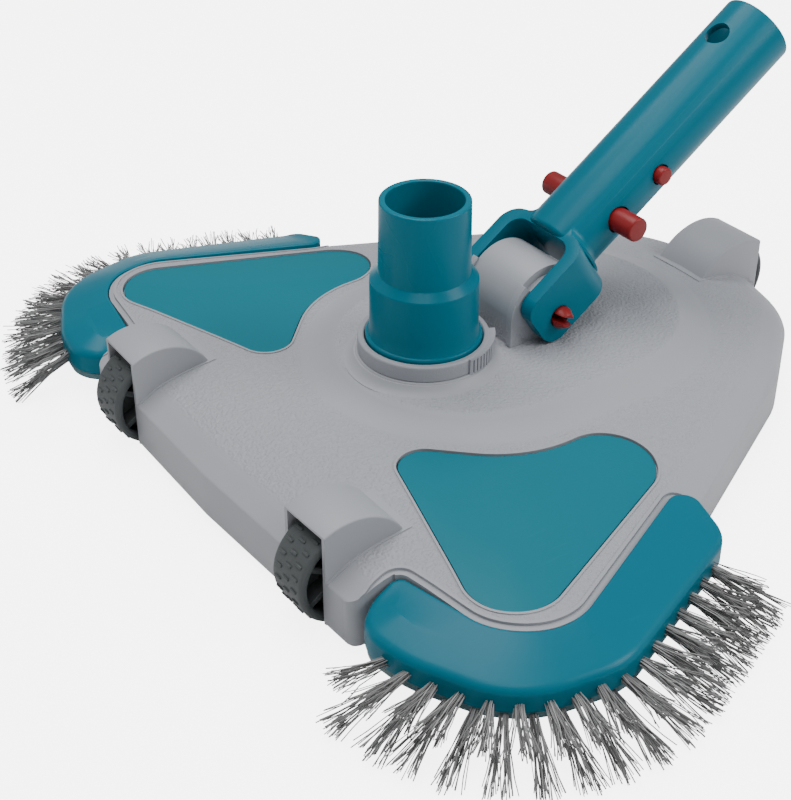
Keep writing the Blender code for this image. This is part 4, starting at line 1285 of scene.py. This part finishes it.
@dataclass
class Brush:
    """One crescent brush: holder, strip and two rows of tufts."""

    side: Side
    shoulder_z: float = 0.0212
    inner_z: float = 0.0285
    bottom_z: float = 0.0127
    strip_low: float = 0.0100
    strip_high: float = 0.0124
    slope_run: float = 0.026
    tufts: int = 17
    filaments: int = 34
    root_radius: float = 0.0013
    bend: float = 0.0026

    def path(self, corners: Sequence[Point3], count: int, first: Point, last: Point) -> list[Point]:
        """Evenly spaced points of the outline between two places, in the outline's own direction."""
        dense = rounded(corners, 2.0)
        start = min(range(len(dense)), key=lambda i: math.dist(dense[i], first))
        end = min(range(len(dense)), key=lambda i: math.dist(dense[i], last))
        path = np.asarray(dense[start : end + 1])
        lengths = np.concatenate([[0.0], np.cumsum(np.linalg.norm(np.diff(path, axis=0), axis=1))])
        wanted = np.linspace(0.0, lengths[-1], count)
        return [(float(np.interp(s, lengths, path[:, 0])), float(np.interp(s, lengths, path[:, 1])))
                for s in wanted]

    def spine(self) -> np.ndarray:
        """The middle line of the crescent, clear of both ends."""
        outer = np.asarray(self.path(HOLDER, 121, (0.0905, -0.0885), (0.1310, 0.0170)))
        inner = np.asarray(self.path(HOLDER, 121, (0.1060, 0.0270), (0.0880, -0.0730)))[::-1]
        middle = (outer + inner) / 2
        return middle[distance_to(middle, rounded(HOLDER)) > 0.0077]

    def far_side(self) -> list[Point]:
        """The outer side of the outline, where the tufts leave."""
        return self.path(HOLDER, 60, (0.0880, -0.0865), (0.1310, 0.0170))

    def top(self, plan: np.ndarray) -> np.ndarray:
        """Height of the sloping top before its edges are rounded."""
        far = distance_to(plan, self.far_side(), closed=False)
        rise = self.inner_z - self.shoulder_z - 0.0014 * smooth_step(0.004, 0.028, plan[:, 1])
        return self.shoulder_z + rise * (1.0 - (1.0 - np.clip(far / self.slope_run, 0.0, 1.0)) ** 1.4)

    def holder(self) -> bpy.types.Mesh:
        """The holder: its top slopes down to a rounded shoulder."""
        steps = [0.0, 0.00006, 0.00025, 0.00055, 0.0009, 0.0014, 0.0019, 0.0024, 0.0032, 0.0043, 0.0056,
                 0.0070]
        rings = []
        for inset in steps:
            plan = np.asarray(rounded(moved_in(HOLDER, inset, 0.0008), 5.0))
            far = distance_to(plan, self.far_side(), closed=False)
            radius = 0.0024 - 0.0014 * smooth_step(0.006, 0.016, far)
            drop = edge_drop(np.full(len(plan), inset), radius, 0.9)
            rings.append(np.column_stack([plan, self.top(plan) - drop]))
        spine = self.spine()
        edge = rings[-1][:, :2]
        nearest = spine[np.argmin(np.linalg.norm(edge[:, None] - spine[None], axis=2), axis=1)]
        for share in (0.3, 0.6, 0.85):
            plan = edge + (nearest - edge) * share
            rings.append(np.column_stack([plan, self.top(plan)]))
        foot = [rings[0].copy(), rings[0].copy()]
        foot[0][:, 2] = self.bottom_z
        foot[1][:, 2] = self.bottom_z + 0.0004
        small = np.asarray(rounded(moved_in(HOLDER, 0.0004, 0.0008), 5.0))
        foot[0][:, :2] = small
        return loft([self.turned_over(ring) for ring in [*foot, *rings]])

    def turned_over(self, ring: np.ndarray) -> list[Point3]:
        """A ring on this brush's side."""
        points = [tuple(map(float, p)) for p in ring]
        return on_side(self.side, points)

    def roots(self, corners: Sequence[Point3], count: int, shift: float, height: float,
              droop: float) -> bpy.types.Mesh:
        """Points for the tufts, each with the direction it aims at.

        Args:
            corners: Outline that the tufts leave from.
            count: Number of tufts.
            shift: How far the row is moved along, in spacings.
            height: Height of the roots.
            droop: Angle below the horizontal, in radians.

        Returns:
            A mesh of loose points with the attributes aim and side.
        """
        path = np.asarray(self.path(corners, count * 10 + 1, (0.1010, -0.0924), (0.1310, 0.0170)))
        places, aims, sides = [], [], []
        for i in range(count):
            at = min(max(int((i + 0.5 + shift) * 10), 1), len(path) - 2)
            along = path[at + 1] - path[at - 1]
            along = along / np.linalg.norm(along)
            place = path[at] - np.array([along[1], -along[0]]) * 0.0012
            fan = math.radians(-20.0 * max(0.0, 1.0 - (i + shift) / 4.0))
            along = np.array([along[0] * math.cos(fan) - along[1] * math.sin(fan),
                              along[0] * math.sin(fan) + along[1] * math.cos(fan)])
            out = np.array([along[1], -along[0]])
            mirror = self.side.value
            places.append((place[0] * mirror, place[1], height))
            aims.append((out[0] * math.cos(droop) * mirror, out[1] * math.cos(droop), -math.sin(droop)))
            sides.append((along[0] * mirror, along[1], 0.0))
        mesh = bpy.data.meshes.new("roots")
        mesh.from_pydata(places, [], [])
        mesh.attributes.new("aim", "FLOAT_VECTOR", "POINT").data.foreach_set("vector", np.ravel(aims))
        mesh.attributes.new("side", "FLOAT_VECTOR", "POINT").data.foreach_set("vector", np.ravel(sides))
        return mesh

    def row(self, shop: Workshop, name: str, roots: bpy.types.Mesh, inputs: dict[str, object]) -> None:
        """Grow one row of tufts and dress it."""
        always = {"Filaments": self.filaments, "Root Radius": self.root_radius, "Bend": self.bend}
        given = {**always, "Material": shop.finishes(BRUSH_NYLON), **inputs}
        mesh = grown(roots, shop.tufts, given)
        word = f"{name}_{self.side.word}"
        shop.piece(f"tufts_{word}", mesh, BRUSH_NYLON, "head", [f"bristles_{word}"],
                   sharp=60.0)

    def build(self, shop: Workshop) -> None:
        """Make every piece of the brush."""
        word = self.side.word
        shop.piece(f"holder_{word}", self.holder(), GLOSS_TEAL, "head",
                   [f"brush_holder_{word}"])
        # The strip's colour carries a painted reflection: a lighter, greyer teal than the holder's.
        strip = rounded_edges(band(HOLDER, self.side, 0.0006, self.strip_low, self.strip_high), 0.0004, 2,
                              50.0)
        shop.piece(f"strip_{word}", strip, STRIP_SHEEN_TEAL, "head", [f"brush_strip_{word}"])
        number = 1 if self.side is Side.RIGHT else 2
        upper = self.roots(HOLDER, self.tufts, 0.0, 0.0158, math.radians(7))
        self.row(shop, "upper", upper, {
            "Length": 0.0190, "Spread Wide": 0.15, "Spread High": 0.08, "Waviness": 0.0018,
            "Seed": 10 + number})
        lower = self.roots(moved_in(HOLDER, 0.0006), self.tufts, 0.5, 0.0112, math.radians(17))
        self.row(shop, "lower", lower, {
            "Length": 0.0268, "Spread Wide": 0.13, "Spread High": 0.06, "Waviness": 0.0012,
            "Seed": 20 + number})


# ---------------------------------------------------------------- wheels


@dataclass
class Wheel:
    """A wheel with rows of short tread bars and spokes in its open sides."""

    name: str
    radius: float = 0.0180
    half: float = 0.0082
    bars: int = 24
    spokes: int = 6

    def build(self, shop: Workshop) -> None:
        """Make the wheel about its axle and hang it on its own body."""
        base = self.radius - 0.0005
        profile = [
            (0.0023, -0.0078), (0.0046, -0.0078), (0.0050, -0.0074), (0.0050, -0.0012), (0.0144, -0.0012),
            (0.0146, -0.0076), (0.0149, -0.0080), (0.0153, -self.half), (0.0160, -self.half),
            *[(0.0160 + (base - 0.0160) * math.sin(a), -self.half + 0.0016 * (1 - math.cos(a)))
              for a in np.linspace(0.2, math.pi / 2, 6)],
        ]
        profile = profile + [(r, -x) for r, x in reversed(profile)]
        meshes = [turned(profile, 96, "x")]
        bar = rounded_edges(block((-0.0016, -0.0005, base - 0.0006), (0.0016, 0.0005, self.radius)), 0.0002,
                            1)
        for row, x in enumerate((-0.0044, 0.0, 0.0044)):
            pitch = math.tau / self.bars
            turns = [((i + 0.5 * (row % 2)) * pitch, 0.0, 0.0) for i in range(self.bars)]
            meshes.append(shop.copied(bar.copy(), [(x, 0.0, 0.0)] * self.bars, turns))
        spoke = rounded_edges(block((-0.0066, -0.0011, 0.0045), (0.0066, 0.0011, 0.0148)), 0.0003, 1)
        turns = [(math.tau * i / self.spokes, 0.0, 0.0) for i in range(self.spokes)]
        meshes.append(shop.copied(spoke, [(0.0, 0.0, 0.0)] * self.spokes, turns))
        body = f"wheel_{self.name}"
        place = Matrix.Translation(middle(body))
        shop.piece(f"tread_{self.name}", gathered(meshes), WHEEL_GREY, body, [body], place,
                   40.0)


# ---------------------------------------------------------------- spigot


@dataclass
class HoseConnection:
    """The swivelling spigot and the twist ring over its flange."""

    top_z: float = 0.0971
    bore: float = 0.0136
    ring_low: float = 0.0385
    ring_high: float = 0.0443

    def spigot(self) -> bpy.types.Mesh:
        """The stepped tube."""
        foot = [(0.0197, 0.0466), (0.0200, 0.0456), *arc((0.0200, 0.0446), 0.0010, math.radians(55), 0.0, 5)]
        profile = [
            *arc((self.bore + 0.0006, self.top_z - 0.0006), 0.0006, math.pi, math.pi / 2, 4),
            *arc((0.0153, self.top_z - 0.0007), 0.0007, math.pi / 2, 0.0, 5),
            (0.0163, 0.0702),
            *arc((0.0167, 0.0698), 0.0004, math.pi, math.pi * 1.25, 3),
            *arc((0.0186, 0.0667), 0.0007, math.pi / 4, 0.0, 4),
            (0.0194, 0.0500),
            *foot,
            (0.0210, 0.0380), (0.0226, 0.0380), (0.0226, 0.0354), (0.0170, 0.0354), (0.0170, 0.0262),
            (self.bore, 0.0262),
        ]
        return turned(profile, 128)

    def ring(self, shop: Workshop) -> bpy.types.Mesh:
        """The twist ring with its ribbed thumb grip."""
        low, high = self.ring_low, self.ring_high
        base = turned(
            [(0.0214, low), (0.0238, low), (0.0238, high - 0.0009),
             *arc((0.0229, high - 0.0009), 0.0009, 0.0, math.pi / 2, 4), (0.0218, high),
             (0.0214, high - 0.0004)], 144)
        solid = Solid(base)
        start, end = math.radians(5.0), math.radians(62.0)
        widening = zip(np.linspace(start, end, 40), np.linspace(0.0245, 0.0258, 40))
        outer = [(r * math.cos(a), r * math.sin(a)) for a, r in widening]
        grip = [*outer, *arc((0.0, 0.0), 0.0222, end, start, 24)]
        solid.join(prism(grip, 0.0372, high - 0.0002))
        groove = block((0.0241, -0.0003, 0.030), (0.030, 0.0003, high - 0.0009))
        turns = [(0.0, 0.0, math.radians(9.0 + 4.3 * i)) for i in range(7)]
        grooves = shop.copied(groove, [(0.0, 0.0, 0.0)] * len(turns), turns)
        return solid.cut(grooves).applied()

    def build(self, shop: Workshop) -> None:
        """Make both pieces."""
        shop.piece("spigot", self.spigot(), GLOSS_TEAL, "hose_spigot", ["hose_spigot"])
        shop.piece("twist_ring", self.ring(shop), PLAIN_GREY, "lock_ring", ["lock_ring"])


# ---------------------------------------------------------------- handle


@dataclass
class PoleHandle:
    """The yoke and pole tube, the snap pin and the spring clip; y runs along the tube, z across it."""

    ear_inner: float = 0.0156
    ear_outer: float = 0.0212
    ear_front: float = -0.0100
    low: float = -0.0084
    high: float = 0.0146
    tube_z: float = 0.0038
    tube_radius: float = 0.01435
    tube_bore: float = 0.01175
    tube_start: float = 0.0206
    yoke_end: float = 0.0236
    tube_end: float = 0.1346
    big: tuple[float, float, float] = (0.0415, 0.0046, 0.0245)
    small: tuple[float, float, float] = (0.0645, 0.0034, 0.0170)

    def yoke(self) -> bpy.types.Mesh:
        """The fork: a plan outline kept inside a side outline."""
        plan = [(self.ear_outer, self.ear_front, 0.0), (self.ear_outer, self.yoke_end, 0.0085)]
        pocket = [(self.ear_inner, self.ear_front, 0.0), (self.ear_inner, 0.0202, 0.0060)]
        left = [(-x, u, r) for x, u, r in reversed(plan)]
        inner = [(-x, u, r) for x, u, r in pocket] + [(x, u, r) for x, u, r in reversed(pocket)]
        fork = Solid(prism(rounded([*plan, *left, *inner], 6.0), self.low, self.high))
        radius, blend = self.tube_radius, 0.0034
        hollow = arc((radius + blend, self.yoke_end + blend), blend, -math.pi / 2, -math.pi, 8)
        neck = [(0.0, 0.0225), (radius + blend, 0.0225), *hollow, (0.0, self.yoke_end + blend)]
        fork.join(turned(neck, 96, "y", (0.0, 0.0, self.tube_z)))
        side = [(self.ear_front, self.low, 0.0072), (0.06, self.low, 0.0), (0.06, self.high, 0.0),
                (self.ear_front, self.high, 0.0060)]
        fork.keep(prism(rounded(side, 6.0), -0.03, 0.03, "x"))
        return rounded_edges(fork.applied(), 0.0013, 4, 50.0)

    def body(self) -> bpy.types.Mesh:
        """Yoke and tube in one moulding."""
        at = (0.0, 0.0, self.tube_z)
        end = arc((self.tube_radius - 0.0007, self.tube_end - 0.0007), 0.0007, 0.0, math.pi / 2, 5)
        start = arc((self.tube_radius - 0.0018, self.tube_start + 0.0018), 0.0018, -math.pi / 2, 0.0, 6)
        tube = turned([(0.0, self.tube_start), *start, *end, (0.0, self.tube_end)], 128, "y", at)
        solid = Solid(self.yoke()).join(tube)
        bore = [(0.0, 0.0345), (self.tube_bore, 0.0345), (self.tube_bore, self.tube_end - 0.0006),
                (self.tube_bore + 0.0008, self.tube_end + 0.0002), (0.0, self.tube_end + 0.0002)]
        solid.cut(turned(bore, 112, "y", at))
        holes = [rod(PIN_HOLE, -0.03, 0.03, "x", segments=48)]
        for along, radius, _ in (self.big, self.small):
            holes.append(rod(radius + BUTTON_CLEARANCE, -0.03, 0.03, "x", (0.0, along, self.tube_z), 48))
        holes.append(rod(0.0048, 0.006, 0.03, "z", (0.0, 0.1180, self.tube_z), 48))
        return solid.cut(*holes).applied()

    def arm(self, side: Side) -> bpy.types.Mesh:
        """One leaf of the clip with its two buttons."""
        sign = side.value
        xs = sorted((sign * 0.0090, sign * 0.0104))
        leaf = block((xs[0], 0.0358, self.tube_z - 0.0038), (xs[1], 0.0745, self.tube_z + 0.0038))
        solid = Solid(rounded_edges(leaf, 0.0003, 2))
        for along, radius, end in (self.big, self.small):
            low, high = sorted((sign * 0.0098, sign * end))
            solid.join(rod(radius, low, high, "x", (0.0, along, self.tube_z), 64, 0.0008))
        return solid.applied()

    def bend(self) -> bpy.types.Mesh:
        """The bend that joins the leaves."""
        corners = [(0.0104, 0.0748, 0.0), (0.0104, 0.0805, 0.0046), (-0.0104, 0.0805, 0.0046),
                   (-0.0104, 0.0748, 0.0),
                   (-0.0090, 0.0748, 0.0), (-0.0090, 0.0791, 0.0032), (0.0090, 0.0791, 0.0032),
                   (0.0090, 0.0748, 0.0)]
        shape = prism(rounded(corners, 8.0), self.tube_z - 0.0038, self.tube_z + 0.0038)
        return rounded_edges(shape, 0.0003, 2, 50.0)

    def pin(self) -> bpy.types.Mesh:
        """The snap pin: a low head on one side, a split barb on the other."""
        edge = self.ear_outer + 0.0003
        profile = [
            (0.0, -edge - 0.0020), *arc((0.0056, -edge - 0.0013), 0.0007, -math.pi / 2, 0.0, 4),
            (0.0065, -edge),
            (0.0040, -edge), (0.0039, edge - 0.0003), (0.0042, edge + 0.0003), (0.0043, edge + 0.0008),
            (0.0041, edge + 0.0014), (0.0029, edge + 0.0038), (0.0024, edge + 0.0042), (0.0, edge + 0.0042),
        ]
        split = block((0.0150, -0.01, -0.0013), (0.04, 0.01, 0.0013))
        split.transform(Matrix.Rotation(math.radians(-55.0), 4, "X"))
        return Solid(turned(profile, 48, "x")).cut(split).applied()

    def build(self, shop: Workshop) -> None:
        """Make every piece that tilts with the pole."""
        shop.piece("pole_handle", self.body(), GLOSS_TEAL, "handle", ["handle"], ON_HANDLE)
        shop.piece("snap_pin", self.pin(), SIGNAL_RED, "handle", ["pivot_pin"], ON_HANDLE)
        shop.piece("clip_bow", self.bend(), SIGNAL_RED, "handle", ["clip_bend"], ON_HANDLE)
        for side in Side:
            name = f"clip_{side.word}"
            shop.piece(f"leaf_{side.word}", self.arm(side), SIGNAL_RED, name,
                       [f"clip_arm_{side.word}"], ON_HANDLE)


# ---------------------------------------------------------------- screws


@dataclass
class Screws:
    """Cross-head screws under the base plate and the brushes."""

    head: float = 0.0036
    shaft: float = 0.0015
    groups: dict[str, int] = field(default_factory=lambda: {"base_screw": 6, "brush_screw": 4})

    def screw(self, length: float) -> bpy.types.Mesh:
        """A screw that stands on its head."""
        rim = arc((self.head - 0.0004, 0.0004), 0.0004, -math.pi / 2, 0.0, 3)
        shaft = [(self.shaft, 0.0013), (self.shaft, length - 0.0012)]
        profile = [(0.0, 0.0), *rim, (self.head, 0.0009), *shaft, (0.0, length)]
        cross = [block((-0.0021, -0.00045, -0.001), (0.0021, 0.00045, 0.0008)),
                 block((-0.00045, -0.0021, -0.001), (0.00045, 0.0021, 0.0008))]
        return Solid(turned(profile, 24)).cut(cross[0]).cut(cross[1]).applied()

    def build(self, shop: Workshop) -> None:
        """Make each group of screws as one piece."""
        for name, count in self.groups.items():
            nodes = [f"{name}_{i + 1}" for i in range(count)]
            boxes = [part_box(node) for node in nodes]
            points = [((low.x + high.x) / 2, (low.y + high.y) / 2, low.z) for low, high in boxes]
            turns = [(0.0, 0.0, 0.7 * i) for i in range(count)]
            mesh = shop.copied(self.screw(boxes[0][1].z - boxes[0][0].z), points, turns)
            shop.piece(f"{name}s", mesh, PIN_STEEL, "head", nodes, Matrix.Identity(4))


# ---------------------------------------------------------------- studio


@dataclass
class Studio:
    """Floor, light and camera."""

    eye: Point3 = (0.3835, -0.2890, 0.3377)
    azimuth: float = 54.2
    elevation: float = 33.9
    lens: float = 70.92
    floor_glow: float = 5.0
    sky: float = 0.30
    lamps: tuple[tuple[str, Point3, float, float], ...] = (
        ("key", (-0.45, 0.05, 1.40), 0.90, 15.0),
        ("right", (0.95, 0.80, 0.90), 0.70, 11.0),
        ("top", (0.35, -0.35, 1.40), 0.80, 8.0),
        ("front", (-0.90, -1.00, 0.70), 1.00, 1.6),
    )

    def build(self, shop: Workshop) -> None:
        """Set up the pale floor, the soft light and the camera."""
        floor_mesh = mesh_of([(-6, -6, 0), (6, -6, 0), (6, 6, 0), (-6, 6, 0)], [(0, 1, 2, 3)])
        material, w, shader = new_material("floor_white")
        shader.inputs["Base Color"].default_value = opaque(grey(0.90))
        shader.inputs["Roughness"].default_value = 0.9
        shader.inputs["Specular IOR Level"].default_value = 0.0
        shader.inputs["Emission Color"].default_value = opaque(grey(1.0))
        seen = w.node("LightPath").outputs["Is Camera Ray"]
        w.link(w.math("MULTIPLY", seen, self.floor_glow), shader.inputs["Emission Strength"])
        floor_mesh.materials.append(material)
        floor = placed("floor", floor_mesh)
        world = bpy.data.worlds.new("studio")
        world.use_nodes = True
        sky = world.node_tree.nodes["Background"].inputs
        sky["Color"].default_value = opaque(grey(1.0))
        sky["Strength"].default_value = self.sky
        bpy.context.scene.world = world
        for name, place, size, power in self.lamps:
            self.lamp(name, place, size, power)
        data = bpy.data.cameras.new("camera")
        data.sensor_width = 36.0
        data.lens = self.lens
        data.clip_start = 0.01
        camera = placed("camera", data)
        a, e = math.radians(self.azimuth), math.radians(self.elevation)
        look = Vector((-math.sin(a) * math.cos(e), math.cos(a) * math.cos(e), -math.sin(e)))
        camera.location = (self.eye[0], self.eye[1] + HOSE_Y, self.eye[2])
        camera.rotation_euler = look.to_track_quat("-Z", "Y").to_euler()
        bpy.context.scene.camera = camera

    def lamp(self, name: str, place: Point3, size: float, power: float) -> None:
        """A soft square lamp that faces the head."""
        data = bpy.data.lights.new(name, "AREA")
        data.size = size
        data.energy = power
        lamp = placed(name, data)
        lamp.location = place
        lamp.rotation_euler = (Vector((0.0, 0.0, 0.03)) - Vector(place)).to_track_quat("-Z", "Y").to_euler()


def main() -> None:
    """Build every sub-assembly in order."""
    logging.basicConfig(level=logging.INFO, format="%(name)s: %(message)s")
    shop = Workshop()
    Studio().build(shop)
    casing = Casing()
    casing.build(shop)
    Covers().build(shop, casing)
    for side in Side:
        Brush(side).build(shop)
    for name in ("front_left", "front_right", "rear"):
        Wheel(name).build(shop)
    HoseConnection().build(shop)
    PoleHandle().build(shop)
    Screws().build(shop)


if __name__ == "__main__":
    main()
